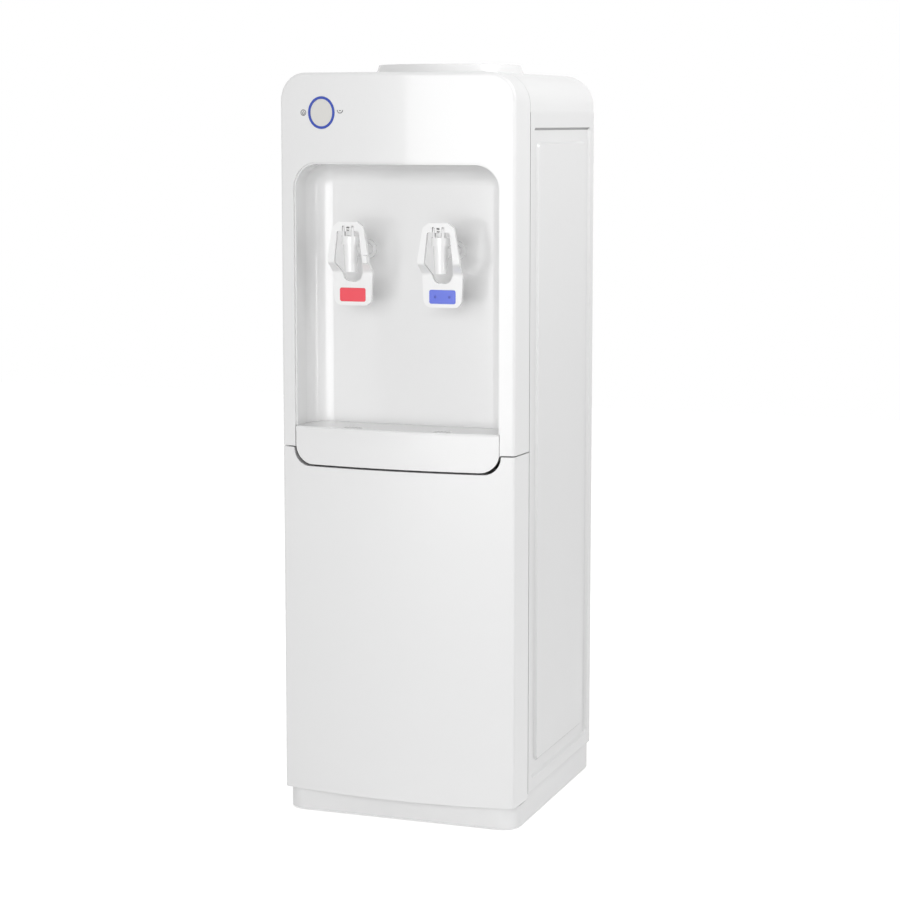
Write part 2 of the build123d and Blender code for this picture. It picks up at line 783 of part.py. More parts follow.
def drip_tray():
    """Basin with a bowed front skirt that hangs into the door's cut-out, and a rolled lip."""
    floor = tray_floor_z - tray_wall
    basin = tray_plan(0, floor, tray_top_z) & bow_body(skirt_setback, floor - 1, tray_top_z + 1)
    half = niche_half_width - tray_gap
    outline = Pos(0, (skirt_bottom_z + tray_top_z) / 2) * Rectangle(2 * half, tray_top_z - skirt_bottom_z)
    outline = fillet(outline.vertices().group_by(Axis.Y)[0], skirt_corner)
    front = extrude(facing_front(chord_y + 9) * outline, amount=front_bow + 20)
    skirt = front & (bow_body(skirt_setback, skirt_bottom_z, tray_top_z)
                     - bow_body(skirt_setback + skirt_thickness, skirt_bottom_z - 1, tray_top_z + 1))
    lip_z = tray_top_z - lip_height
    lip = front & (bow_body(0, lip_z, tray_top_z) - bow_body(moulding_wall, lip_z - 1, tray_top_z + 1))
    lip_face = lip.faces().sort_by(Axis.Y)[0]
    lip = fillet(lip_face.edges().group_by(Axis.Z)[-1], lip_radius)
    tray = basin + skirt + lip
    hollow_front = skirt_setback + skirt_thickness + 1
    tray -= tray_plan(tray_wall, tray_floor_z, tray_top_z - grille_thickness - 2) & bow_body(
        hollow_front, tray_floor_z - 1, tray_top_z + 1)
    tray -= grille_form(0, tray_top_z - grille_thickness - 2, tray_top_z + 1)
    ledge = grille_form(0, tray_top_z - grille_thickness - 2, tray_top_z - grille_thickness)
    ledge -= grille_form(2, tray_top_z - grille_thickness - 3, tray_top_z + 1)
    return tray + ledge


def grille_form(inset, z0, z1):
    return tray_plan(tray_wall / 2 + inset, z0, z1) & bow_body(
        skirt_setback + skirt_thickness + inset, z0 - 1, z1 + 1)


def drip_grille():
    """Lift-off top of the tray, with a group of drain slots under each tap."""
    z0 = tray_top_z - grille_thickness
    plate = grille_form(grille_gap, z0, tray_top_z)
    for tap in (-tap_x, tap_x):
        for index in range(slots_in_group):
            x = tap + (index - (slots_in_group - 1) / 2) * slot_pitch
            place = Pos(x, tap_axis_y + slot_length / 2) * Rot(0, 0, 90)
            slot = place * SlotOverall(slot_length, slot_width)
            plate -= extrude(Pos(0, 0, z0 - 1) * slot, amount=grille_thickness + 2)
    return plate


# ---- taps ----
def tap_body(x):
    """Tapered spout with its valve chamber and the threaded shank through the niche wall."""
    outer = turned([(0, tip_z), (tip_radius, tip_z), (barrel_radius, cap_bottom_z),
                    (barrel_radius, barrel_top_z), (0, barrel_top_z)], x, tap_axis_y)
    wall_y = niche_back_y
    tail_y = wall_y + niche_wall + shank_tail
    outer += rod_y(x, tap_axis_y, tail_y, shank_z, shank_radius)
    outer += rod_y(x, wall_y - flange_thickness, wall_y, shank_z, flange_radius)
    outer += rod_y(x, tail_y, tail_y + barb_length, shank_z, hose_bore)
    outer -= rod_y(x, tap_axis_y, tail_y - barb_root, shank_z, shank_bore)
    outer -= rod_y(x, tail_y - barb_root - 1, tail_y + barb_length + 1, shank_z, hose_bore - barb_wall)
    outer -= rod_z(x, tap_axis_y, seat_z, barrel_top_z + 1, chamber_radius)
    outer -= rod_z(x, tap_axis_y, tip_z - 1, seat_z + 1, outlet_radius)
    return outer


def tap_nut(x):
    """Hexagon nut that clamps the shank behind the niche wall."""
    wall_y = niche_back_y + niche_wall
    hexagon = RegularPolygon(nut_across_flats / 2, 6, major_radius=False) - Circle(shank_radius + nut_gap)
    return extrude(Plane(origin=(x, wall_y, shank_z), z_dir=(0, 1, 0)) * hexagon, amount=nut_thickness)


def tap_cap(x):
    """Screwed ring over the barrel, with two lugs for the pivot pin."""
    cap = rod_z(x, tap_axis_y, cap_bottom_z, cap_top_z, cap_radius)
    cap = fillet(cap.edges().sort_by(Axis.Z)[-1], 0.8)
    lug_inner = blade_half + 2 * side_gap + ear_thickness
    lug_outer = lug_inner + lug_thickness
    pivot_y = tap_axis_y - pivot_ahead
    for side in (-1, 1):
        x0, x1 = sorted((x + side * lug_inner, x + side * lug_outer))
        lug = block(x0, x1, pivot_y - lug_round, pivot_y + lug_round, cap_top_z - 1, pivot_z)
        lug += rod_x(x0, x1, pivot_y, pivot_z, lug_round)
        cap += lug & rod_z(x, tap_axis_y, cap_top_z - 1, pivot_z + lug_round + 1, cap_radius)
    cap -= rod_x(x - lug_outer, x + lug_outer, pivot_y, pivot_z, pivot_radius)
    cap -= rod_z(x, tap_axis_y, cap_bottom_z - 1, barrel_top_z, barrel_radius)
    cap -= rod_z(x, tap_axis_y, barrel_top_z - 1, cap_top_z + 1, stem_radius + stem_clearance)
    return cap


def tap_pivot(x):
    lug_outer = blade_half + 2 * side_gap + ear_thickness + lug_thickness
    return rod_x(x - lug_outer, x + lug_outer, tap_axis_y - pivot_ahead, pivot_z, pivot_radius)


def valve_stem(x):
    """Stem with a flat blade on top; the paddle's lift pin runs in the blade's slot."""
    slot_half = lift_pin_radius + lift_pin_gap
    stem = rod_z(x, tap_axis_y, seat_z + plug_height, cap_top_z + 1, stem_radius)
    blade = block(x - blade_half, x + blade_half, tap_axis_y - blade_reach, tap_axis_y + blade_reach,
                  cap_top_z + 0.4, pivot_z + slot_half + 2)
    stem += blade
    slot = block(x - 9, x + 9, tap_axis_y - lift_pin_radius / 2, tap_axis_y + lift_pin_radius / 2,
                 pivot_z - slot_half, pivot_z + slot_half)
    for y in (-lift_pin_radius / 2, lift_pin_radius / 2):
        slot += rod_x(x - 9, x + 9, tap_axis_y + y, pivot_z, slot_half)
    return stem - slot


def valve_plug(x):
    """Silicone plug that closes the outlet."""
    return turned([(0, seat_z), (outlet_radius + 1, seat_z), (plug_radius, seat_z + 1.2),
                   (plug_radius, seat_z + plug_height), (0, seat_z + plug_height)], x, tap_axis_y)


def valve_spring(x):
    """Return spring round the stem, given as the sleeve that it fills."""
    top = barrel_top_z - spring_gap
    bottom = seat_z + plug_height + spring_gap
    sleeve = rod_z(x, tap_axis_y, bottom, top, stem_radius + 2)
    return sleeve - rod_z(x, tap_axis_y, bottom - 1, top + 1, stem_radius + 0.8)


def paddle_side():
    """Side profile of the paddle: the loop stands ahead and the tongue is set back below a bend."""
    front = loop_front_y
    back = loop_front_y + loop_thickness
    points = [(front, paddle_top_z + 1), (back, paddle_top_z + 1), (back, paddle_bend_top_z),
              (back + tongue_setback, paddle_bend_bottom_z), (back + tongue_setback, paddle_bottom_z - 1),
              (front + tongue_setback, paddle_bottom_z - 1), (front + tongue_setback, paddle_bend_bottom_z),
              (front, paddle_bend_top_z)]
    outline = make_face(Polyline(*points, close=True))
    bends = [vertex for vertex in outline.vertices() if paddle_bottom_z < vertex.Y < paddle_top_z]
    return fillet(bends, loop_thickness)


def paddle_outline():
    """Front outline of the paddle: wide at the bend, narrower at the top bar and the tongue."""
    top_half = loop_half_width * 0.74
    points = [(0, paddle_top_z), (12, paddle_top_z), (top_half, paddle_top_z - 6),
              (loop_half_width, paddle_bend_top_z + 4), (tongue_half_width, paddle_bottom_z),
              (0, paddle_bottom_z)]
    return mirrored_outline(points, [2, 6, 26, 10])


def paddle_window():
    points = [(0, window_top_z), (window_half_width - 4, window_top_z),
              (window_half_width, paddle_bend_top_z), (window_foot_half, window_bottom_z),
              (0, window_bottom_z)]
    return mirrored_outline(points, [3, 10, window_foot_half - 1])


def mirrored_outline(points, radii):
    """Closed outline from its right half, with a radius at each corner off the middle line."""
    right = make_face(Polyline(*points, close=True))
    for point, radius in zip(points[1:-1], radii):
        corner = right.vertices().sort_by_distance(Vector(*point, 0))[0]
        right = fillet(corner, radius)
    return right + mirror(right, Plane.YZ)


def paddle(x, with_button):
    """Push lever: a loop round the spout, a set-back tongue for the cup and two ears on the pivot."""
    width = 2 * loop_half_width + 2
    strip = extrude(facing_right(x - width / 2) * paddle_side(), amount=width)
    reach = loop_thickness + tongue_setback
    front_plane = Plane(origin=(x, loop_front_y + reach + 5, 0), x_dir=(1, 0, 0), z_dir=(0, -1, 0))
    body = strip & extrude(front_plane * paddle_outline(), amount=reach + 10)
    body -= extrude(front_plane * paddle_window(), amount=reach + 10)
    tongue_y = loop_front_y + tongue_setback
    body -= insert_block(x, tongue_y, tongue_y + insert_depth, 0)
    body = paddle_ears(body, x)
    if with_button:
        body -= button_form(x, button_gap, loop_front_y - 1, loop_front_y + loop_thickness - button_floor)
    return body


def paddle_ears(body, x):
    """Cuts the lug slots in the top bar and adds the ears with the pivot hole and the lift pin."""
    pivot_y = tap_axis_y - pivot_ahead
    ear_inner = blade_half + side_gap
    ear_outer = ear_inner + ear_thickness
    lug_outer = ear_outer + side_gap + lug_thickness
    slot_top = pivot_z + lug_round + 1
    for side in (-1, 1):
        x0, x1 = sorted((x + side * ear_outer, x + side * (lug_outer + side_gap)))
        body -= block(x0, x1, loop_front_y - 1, loop_front_y + loop_thickness + 1, window_top_z - 1,
                      slot_top)
        x0, x1 = sorted((x + side * ear_inner, x + side * ear_outer))
        ear = block(x0, x1, pivot_y - lug_round + 0.5, tap_axis_y, pivot_z - lug_round, pivot_z + lug_round)
        ear += rod_x(x0, x1, tap_axis_y, pivot_z, lug_round)
        ear += block(x0, x1, loop_front_y, loop_front_y + loop_thickness, pivot_z, paddle_top_z - 1)
        body += ear
    body -= block(x - ear_inner, x + ear_inner, loop_front_y - 1, loop_front_y + loop_thickness + 9,
                  window_top_z - 9, pivot_z + lug_round)
    body -= rod_x(x - lug_outer - 1, x + lug_outer + 1, pivot_y, pivot_z, pivot_radius + pivot_clearance)
    return body + rod_x(x - ear_outer, x + ear_outer, tap_axis_y, pivot_z, lift_pin_radius)


def insert_block(x, y0, y1, shrink):
    plate = RectangleRounded(insert_width - shrink, insert_height - shrink, insert_corner)
    return extrude(facing_front(y1) * Pos(x, insert_centre_z) * plate, amount=y1 - y0)


def paddle_insert(x):
    """Coloured plate set in the tongue."""
    tongue_y = loop_front_y + tongue_setback
    plate = insert_block(x, tongue_y - insert_proud, tongue_y + insert_depth, 0.2)
    return fillet(plate.faces().sort_by(Axis.Y)[0].edges(), insert_proud * 0.6)


def button_form(x, grow, y0, y1):
    face = RectangleRounded(button_width + 2 * grow, button_height + 2 * grow, button_corner + grow)
    return extrude(facing_front(y1) * Pos(x + button_x, button_z) * face, amount=y1 - y0)


def safety_button(x):
    """Child-safety button in the right arm of the hot paddle, pressed in before pushing."""
    back = loop_front_y + loop_thickness - button_floor - button_travel - button_gap
    button = button_form(x, 0, loop_front_y - button_proud, back)
    front_edges = button.faces().sort_by(Axis.Y)[0].edges()
    return fillet(front_edges, 0.8)


# ---- cabinet and door ----
def liner_profile(grow):
    """Side profile of the storage space, with a step over the compressor bay."""
    front = panel_front_y + sheet + liner_front_gap
    points = [(front - 1, liner_bottom_z - grow), (hump_y + grow, liner_bottom_z - grow),
              (hump_y + grow, hump_z - grow), (liner_deep_y + grow, hump_z - grow),
              (liner_deep_y + grow, liner_top_z + grow), (front - 1, liner_top_z + grow)]
    return make_face(Polyline(*points, close=True))


def cabinet_liner():
    """Storage liner with a flange that lies on the front flanges of the steel sides."""
    outer_half = liner_half_width + liner_wall
    form = extrude(facing_right(-outer_half) * liner_profile(liner_wall), amount=2 * outer_half)
    upright = [edge for edge in form.edges().filter_by(Axis.X) if edge.center().Y > 0]
    form = fillet(upright, 6)
    hollow = extrude(facing_right(-liner_half_width) * liner_profile(0), amount=2 * liner_half_width)
    upright = [edge for edge in hollow.edges().filter_by(Axis.X) if edge.center().Y > 0]
    hollow = fillet(upright, 6 - liner_wall)
    front = panel_front_y - liner_front_gap
    flange_half = flange_x + liner_flange_lap
    flange_top_z = liner_top_z + liner_flange_rise
    flange = block(-flange_half, flange_half, front, panel_front_y, panel_bottom_z, flange_top_z)
    neck = block(-outer_half, outer_half, panel_front_y, panel_front_y + 6, liner_bottom_z - liner_wall,
                 liner_top_z + liner_wall)
    mouth = block(-liner_half_width, liner_half_width, front - 1, panel_front_y + 7, liner_bottom_z,
                  liner_top_z)
    return form + neck + flange - hollow - mouth


def door_cut(grow, y0, y1):
    """Cut-out in the door's top edge for the tray's skirt."""
    half = niche_half_width - tray_gap + door_cut_gap + grow
    bottom = skirt_bottom_z - door_cut_gap - grow
    corner = door_cut_corner + grow
    outline = Pos(0, (bottom + seam_z + 20) / 2) * Rectangle(2 * half, seam_z + 20 - bottom)
    outline = fillet(outline.vertices().group_by(Axis.Y)[0], corner)
    return extrude(facing_front(y1) * outline, amount=y1 - y0)


def door_form(inset):
    form = front_form(door_bottom_z + inset, door_top_z, 0, inset)
    return form - door_cut(inset, crest_y - 5, joint_y + 1)


def cabinet_door():
    """Door skin with side returns, a turned top edge round the tray cut-out and hinge bosses."""
    outer = front_form(door_bottom_z, door_top_z, 0, 0)
    face = outer.faces().sort_by(Axis.Y)[0]
    outer = fillet(face.edges().filter_by(GeomType.LINE), front_edge_radius)
    outer -= door_cut(0, crest_y - 5, joint_y + 1)
    skin = outer - door_form(moulding_wall)
    boss_y0 = hinge_y - hinge_boss_radius
    for z0, z1 in ((door_bottom_z, door_bottom_z + hinge_boss_height),
                   (door_top_z - hinge_boss_height, door_top_z)):
        boss = rod_z(hinge_x, hinge_y, z0, z1, hinge_boss_radius)
        boss += block(hinge_x, half_width - moulding_wall, boss_y0, hinge_y + hinge_boss_radius, z0, z1)
        skin += boss
    pin_hole = hinge_pin_radius + hinge_clearance
    skin -= rod_z(hinge_x, hinge_y, door_bottom_z - 1, door_bottom_z + hinge_pin_length + 1, pin_hole)
    skin -= rod_z(hinge_x, hinge_y, door_top_z - hinge_pin_length - 1, door_top_z + 1, pin_hole)
    return skin


def door_inner_panel():
    """Flat panel that closes the back of the door up to the tray's cut-out."""
    panel_y = door_back_y
    half = half_width - moulding_wall - 0.6
    z0 = door_bottom_z + moulding_wall + 0.2
    z1 = skirt_bottom_z - door_cut_gap - moulding_wall - 0.2
    panel = block(-half, half, panel_y - 2, panel_y, z0, z1)
    field = block(-half + 34, half - 34, panel_y - 1, panel_y + 1, z0 + 34, skirt_bottom_z - 44)
    panel -= fillet(field.edges().filter_by(Axis.Y), 12)
    for z in (door_bottom_z, door_top_z):
        low, high = z - hinge_boss_height - 1.5, z + hinge_boss_height + 1.5
        panel -= block(hinge_x - hinge_boss_radius - 1, half + 1, panel_y - 9, panel_y + 9, low, high)
    return panel


def lower_hinge():
    """Hinge leaf on the plinth's front deck."""
    leaf = block(hinge_x - hinge_leaf_width, half_width - hinge_leaf_inset, hinge_y - hinge_leaf_reach,
                 panel_front_y - liner_front_gap - 1, low_top_z, low_top_z + hinge_leaf)
    return fillet(leaf.edges().filter_by(Axis.Z), hinge_leaf_corner)


def upper_hinge():
    """Bent hinge leaf under the fascia's leg, with a tab on the steel side's flange."""
    z0 = fascia_bottom_z - hinge_leaf
    back = panel_front_y
    side = half_width - hinge_leaf_inset
    leaf = block(flange_x, side, hinge_y - hinge_leaf_reach, back, z0, fascia_bottom_z)
    leaf = fillet(leaf.edges().filter_by(Axis.Z).group_by(Axis.Y)[0], hinge_leaf_corner)
    return leaf + block(flange_x, side, back - hinge_leaf, back, z0, z0 + hinge_tab_height)


def hinge_pins():
    """Lower and upper hinge pins, riveted in their leaves."""
    low = low_top_z + hinge_leaf
    high = fascia_bottom_z - hinge_leaf
    lower_end = door_bottom_z + hinge_pin_length
    upper_end = door_top_z - hinge_pin_length
    return [rod_z(hinge_x, hinge_y, low, lower_end, hinge_pin_radius),
            rod_z(hinge_x, hinge_y, upper_end, high, hinge_pin_radius)]


def strike_plate():
    """Steel plate on the back of the door that the magnet holds."""
    x0 = -liner_half_width
    plate = block(x0, x0 + magnet_width, door_back_y, door_back_y + strike_thickness,
                  magnet_z - magnet_height / 2, magnet_z + magnet_height / 2)
    return chamfer(plate.edges().filter_by(Axis.Y), 1)


def door_magnet():
    """Magnetic catch on the liner's left wall."""
    x0 = -liner_half_width
    y0 = door_back_y + strike_thickness + latch_gap
    body = block(x0, x0 + magnet_width, y0, y0 + magnet_depth, magnet_z - magnet_height / 2,
                 magnet_z + magnet_height / 2)
    return fillet(body.edges().filter_by(Axis.X), 1.5)


# ---- tanks, hoses and insulation ----
def cold_outlet():
    return (tank_radius * 0.75, collar_y)


def supply_outlet():
    return (-tank_radius * 0.5, collar_y + tank_radius * 0.4)


def cold_tank():
    """Stainless cold tank with a mouth for the seat's spigot and two outlet stubs below."""
    wall = tank_wall
    mouth = spigot_radius - 2
    r = tank_radius
    tank = turned([(0, tank_bottom_z), (r, tank_bottom_z), (r, tank_top_z), (mouth, tank_top_z),
                   (mouth, tank_top_z - wall), (r - wall, tank_top_z - wall),
                   (r - wall, tank_bottom_z + wall), (0, tank_bottom_z + wall)], 0, collar_y)
    for x, y in (cold_outlet(), supply_outlet()):
        tank += rod_z(x, y, upper_shelf_z - sheet - stub_length, tank_bottom_z, hose_bore)
        tank -= rod_z(x, y, upper_shelf_z - sheet - stub_length - 1, tank_bottom_z + 2 * wall,
                      hose_bore - wall)
    return tank


def evaporator_coil():
    """Chilling coil brazed round the cold tank, given as its ribbed outer form."""
    r = tank_radius
    points = [(r, evaporator_bottom_z)]
    for rib in range(evaporator_ribs):
        z = evaporator_bottom_z + rib * evaporator_rib
        points += [(r + evaporator_thickness, z + 2), (r + evaporator_thickness, z + evaporator_rib - 2),
                   (r + 1.5, z + evaporator_rib)]
    points.append((r, evaporator_bottom_z + evaporator_ribs * evaporator_rib))
    return turned(points, 0, collar_y)


def foam_block(z0, z1):
    middle = (foam_front_y + foam_rear_y) / 2
    plan = RectangleRounded(2 * foam_half_width, foam_rear_y - foam_front_y, foam_corner)
    return extrude(Pos(0, middle, z0) * plan, amount=z1 - z0)


def foam_body():
    """Moulded foam round the cold tank and its coil."""
    foam = foam_block(upper_shelf_z, foam_split_z)
    cavity_radius = tank_radius + evaporator_thickness + tank_gap
    foam -= rod_z(0, collar_y, tank_bottom_z, foam_split_z + 1, cavity_radius)
    for x, y in (cold_outlet(), supply_outlet()):
        foam -= rod_z(x, y, upper_shelf_z - 1, tank_bottom_z + 1, hose_bore + tank_gap)
    return foam


def foam_lid():
    """Foam lid over the tank, with a hole for the seal."""
    lid = foam_block(foam_split_z, foam_top_z)
    lid -= rod_z(0, collar_y, foam_split_z - 1, tank_top_z, tank_radius + tank_gap)
    return lid - rod_z(0, collar_y, foam_split_z, foam_top_z + 1, spigot_radius + 5 + tank_gap)


def hot_tank():
    """Stainless hot tank, with an outlet and an inlet stub on top and a drain stub low at the back."""
    tank = rod_z(hot_tank_x, hot_tank_y, hot_tank_bottom_z, hot_tank_top_z, hot_tank_radius)
    tank = fillet(tank.edges(), hot_tank_corner)
    top_z = hot_tank_top_z
    for x, y in (hot_outlet(), hot_inlet()):
        tank += rod_z(x, y, top_z - 2, top_z + stub_length - 4, hose_bore)
    back = hot_tank_y + hot_tank_radius
    return tank + rod_y(hot_tank_x, back - 4, back + stub_length, drain_stub_z(), hose_bore)


def hot_outlet():
    return (-tap_x, hot_tank_y)


def hot_inlet():
    return (hot_tank_x - 16, hot_tank_y + 12)


def drain_stub_z():
    return hot_tank_bottom_z + hot_tank_corner + hose_radius


def hot_tank_stand():
    """Ring that holds the hot tank above the shelf."""
    z0 = shelf_z + sheet
    ring = rod_z(hot_tank_x, hot_tank_y, z0, hot_tank_bottom_z, stand_radius)
    ring -= rod_z(hot_tank_x, hot_tank_y, z0 - 1, hot_tank_bottom_z + 1, stand_radius - stand_wall)
    reach = stand_radius + 1
    window = block(hot_tank_x - reach, hot_tank_x + reach, hot_tank_y - 12, hot_tank_y + 12,
                   z0 + 6, hot_tank_bottom_z - 6)
    return ring - window


def heater_band():
    """Clamped heater band round the hot tank."""
    z1 = heater_band_z + heater_band_height
    band = rod_z(hot_tank_x, hot_tank_y, heater_band_z, z1, hot_tank_radius + heater_band_thickness)
    band -= rod_z(hot_tank_x, hot_tank_y, heater_band_z - 1, z1 + 1, hot_tank_radius)
    gap = block(hot_tank_x - heater_band_gap / 2, hot_tank_x + heater_band_gap / 2,
                hot_tank_y - 2 * hot_tank_radius, hot_tank_y, heater_band_z - 1, z1 + 1)
    back = hot_tank_y + hot_tank_radius
    relief_half = hose_radius + 2
    relief = block(hot_tank_x - relief_half, hot_tank_x + relief_half, hot_tank_y, back + 9,
                   heater_band_z - 1, drain_stub_z() + relief_half)
    return band - gap - relief


def thermostats():
    """Disc thermostats on both sides of the hot tank."""
    near = hot_tank_radius
    far = hot_tank_radius + thermostat_depth
    return [rod_x(hot_tank_x - far, hot_tank_x - near, hot_tank_y, thermostat_z, thermostat_radius),
            rod_x(hot_tank_x + near, hot_tank_x + far, hot_tank_y, thermostat_z, thermostat_radius)]


def hose(points, bend):
    return bent_tube(points, bend, hose_radius, hose_bore)


def cold_hose():
    x, y = cold_outlet()
    top = upper_shelf_z - sheet - 2
    return hose([(x, y, top), (x, y, hose_level_z - 6), (tap_x, hose_rise_y, hose_level_z - 6),
                 (tap_x, hose_rise_y, shank_z), (tap_x, shank_tail_y(), shank_z)], hose_bend)


def hot_hose():
    x, y = hot_outlet()
    return hose([(x, y, hot_tank_top_z), (x, y, hose_level_z), (x, hose_rise_y, hose_level_z),
                 (x, hose_rise_y, shank_z), (x, shank_tail_y(), shank_z)], hose_bend)


def supply_hose():
    x, y = supply_outlet()
    x2, y2 = hot_inlet()
    top = upper_shelf_z - sheet - 2
    level = (top + hot_tank_top_z) / 2
    return hose([(x, y, top), (x, y, level), (x2, y2, level), (x2, y2, hot_tank_top_z)], hose_bend * 0.8)


def drain_hose():
    back = hot_tank_y + hot_tank_radius
    z = drain_stub_z()
    return hose([(hot_tank_x, back + 0.5, z), (hot_tank_x, line_y, z),
                 (hot_tank_x, line_y, drain_z + drain_radius)], hose_bend)


def shank_tail_y():
    return niche_back_y + niche_wall + shank_tail


def control_box():
    """Control board housing on the upper shelf."""
    y0 = foam_front_y + foam_corner
    x0 = control_box_x0
    x1 = x0 + control_box_width
    y1 = y0 + control_box_depth
    lid_z = upper_shelf_z + control_box_height
    box = fillet(block(x0, x1, y0, y1, upper_shelf_z, lid_z).edges().filter_by(Axis.Z), 3)
    groove = block(x0 - 1, x1 + 1, y0 - 1, y1 + 1, lid_z - 9, lid_z - 8)
    core = block(x0 + 1, x1 - 1, y0 + 1, y1 - 1, lid_z - 9, lid_z - 8)
    return box - (groove - core)


# ---- refrigeration ----
def compressor_feet():
    x = compressor_plate_width / 2 - grommet_radius
    y = compressor_plate_depth / 2 - grommet_radius
    return [(compressor_x + side * x, compressor_y + end * y) for side in (-1, 1) for end in (-1, 1)]


def compressor():
    """Sealed compressor: two drawn shells welded at a flange, on a foot plate."""
    body = rod_z(compressor_x, compressor_y, compressor_plate_z + compressor_plate, compressor_top_z,
                 compressor_radius)
    body = fillet(body.edges().sort_by(Axis.Z)[-1], compressor_shoulder)
    body = fillet(body.edges().sort_by(Axis.Z)[0], compressor_shoulder * 0.6)
    weld_z = (compressor_plate_z + compressor_top_z) / 2
    body += rod_z(compressor_x, compressor_y, weld_z, weld_z + weld_height, compressor_radius + weld_flange)
    plate = Pos(compressor_x, compressor_y, compressor_plate_z) * RectangleRounded(
        compressor_plate_width, compressor_plate_depth, grommet_radius)
    body += extrude(plate, amount=compressor_plate)
    for x, y in compressor_feet():
        body -= rod_z(x, y, compressor_plate_z - 1, compressor_plate_z + 9, grommet_neck)
    return body


def compressor_grommets():
    """Rubber feet of the compressor, each waisted round the plate's hole."""
    grommets = []
    low = panel_bottom_z
    plate_top = compressor_plate_z + compressor_plate
    for x, y in compressor_feet():
        points = [(0, low), (grommet_radius, low), (grommet_radius - 1, compressor_plate_z),
                  (grommet_neck, compressor_plate_z), (grommet_neck, plate_top),
                  (grommet_radius - 2, plate_top), (grommet_radius - 3, plate_top + 4), (0, plate_top + 4)]
        grommets.append(turned(points, x, y))
    return grommets


def relay_cover():
    """Relay box clipped on the side of the compressor."""
    z = (compressor_plate_z + compressor_top_z) / 2 - relay_height - 3
    x = compressor_x + compressor_radius
    box = block(x - 20, x + relay_width, compressor_y - 20, compressor_y + 20, z, z + relay_height)
    box = fillet(box.edges().filter_by(Axis.X), 5)
    return box - rod_z(compressor_x, compressor_y, z - 1, z + relay_height + 1, compressor_radius)


def condenser_points():
    """Route of the condenser tube: up from the bay, to and fro, then down again to the drier."""
    low = bay_top_z - 6
    y = condenser_y
    points = [(condenser_inlet_x, y, low), (condenser_inlet_x, y, condenser_bottom_z)]
    side = -1
    for level in range(condenser_passes):
        z = condenser_bottom_z + level * condenser_pitch
        if level:
            points.append((-side * condenser_half_width, y, z))
        if level < condenser_passes - 1:
            points.append((side * condenser_half_width, y, z))
        side = -side
    top = condenser_bottom_z + (condenser_passes - 1) * condenser_pitch
    return points + [(condenser_outlet_x, y, top), (condenser_outlet_x, y, drier_top_z)]


def condenser_tube():
    points = condenser_points()
    bend = condenser_pitch / 2 - 1
    radii = [bend] * (len(points) - 2)
    radii[0] = pipe_bend
    radii[-1] = pipe_bend
    return bent_tube(points, radii, pipe_radius, 0)


def condenser_wires():
    """Upright cooling wires welded on both faces of the tube."""
    wires = []
    low = condenser_bottom_z - wire_overhang
    high = condenser_bottom_z + (condenser_passes - 1) * condenser_pitch + wire_overhang
    reach = pipe_radius + wire_radius
    for index in range(wire_count):
        x = (index - (wire_count - 1) / 2) * wire_pitch
        wires.append(rod_z(x, condenser_y + reach, low, high, wire_radius))
        if index < wire_count - 1:
            wires.append(rod_z(x + wire_pitch / 2, condenser_y - reach, low, high, wire_radius))
    return wires


def condenser_brackets():
    """Four clips that hold the condenser off the back panel."""
    clips = []
    top = condenser_passes - 2
    for x in (-wire_pitch * 5, wire_pitch * 5):
        for level in (1, top):
            z = condenser_bottom_z + level * condenser_pitch
            clip = block(x - bracket_width / 2, x + bracket_width / 2, recess_y,
                         condenser_y + pipe_radius / 2, z - bracket_height / 2, z + bracket_height / 2)
            clips.append(clip - rod_x(x - 9, x + 9, condenser_y, z, pipe_radius))
    return clips


def discharge_pipe():
    level = (compressor_top_z + bay_top_z) / 2
    y = compressor_y
    return bent_tube([(discharge_x, y, compressor_top_z), (discharge_x, y, level),
                      (discharge_x, condenser_y, level), (condenser_inlet_x, condenser_y, level),
                      (condenser_inlet_x, condenser_y, bay_top_z - 6)],
                     [pipe_bend, pipe_bend, pipe_bend * 0.7], pipe_radius, 0)


def suction_pipe():
    level = (compressor_top_z + hump_z - liner_wall) / 2 + 2
    y = compressor_y - 6
    z = evaporator_bottom_z + 20
    return bent_tube([(suction_x, y, compressor_top_z), (suction_x, y, level), (suction_x, line_y, level),
                      (suction_x, line_y, z), (suction_x, foam_rear_y, z)],
                     pipe_bend * 0.9, suction_radius, 0)


def filter_drier():
    """Copper drier under the condenser's outlet, with necked ends."""
    z0 = drier_top_z - drier_length
    neck = drier_radius * 1.4
    return turned([(0, z0), (capillary_radius + 1, z0), (drier_radius, z0 + neck),
                   (drier_radius, drier_top_z - neck), (pipe_radius + 1, drier_top_z), (0, drier_top_z)],
                  condenser_outlet_x, condenser_y)


def capillary_tube():
    x = condenser_outlet_x
    low = drier_top_z - drier_length
    return bent_tube([(x, condenser_y, low), (x, condenser_y, low - 22), (x, line_y, low - 22),
                      (x, line_y, capillary_z), (capillary_x, line_y, capillary_z),
                      (capillary_x, foam_rear_y, capillary_z)], [10, 10, 10, 8], capillary_radius, 0)


# ---- switches, gland and drain ----
def switch_places():
    return [switch_x, switch_x + switch_pitch]


def switch_form(x, grow, y0, y1):
    return block(x - switch_width / 2 - grow, x + switch_width / 2 + grow, y0, y1,
                 switch_z - switch_height / 2 - grow, switch_z + switch_height / 2 + grow)


def switch_housing(x):
    """Snap-in rocker switch housing with a flange on the back panel."""
    body = switch_form(x, 0, recess_y - switch_depth, recess_y)
    flange = switch_form(x, 2, recess_y, recess_y + switch_lip)
    body += fillet(flange.edges().filter_by(Axis.Y), 1.5)
    half_w = rocker_width / 2 + rocker_gap
    half_h = rocker_height / 2 + rocker_gap
    return body - block(x - half_w, x + half_w, recess_y - 9, recess_y + 9, switch_z - half_h,
                        switch_z + half_h)


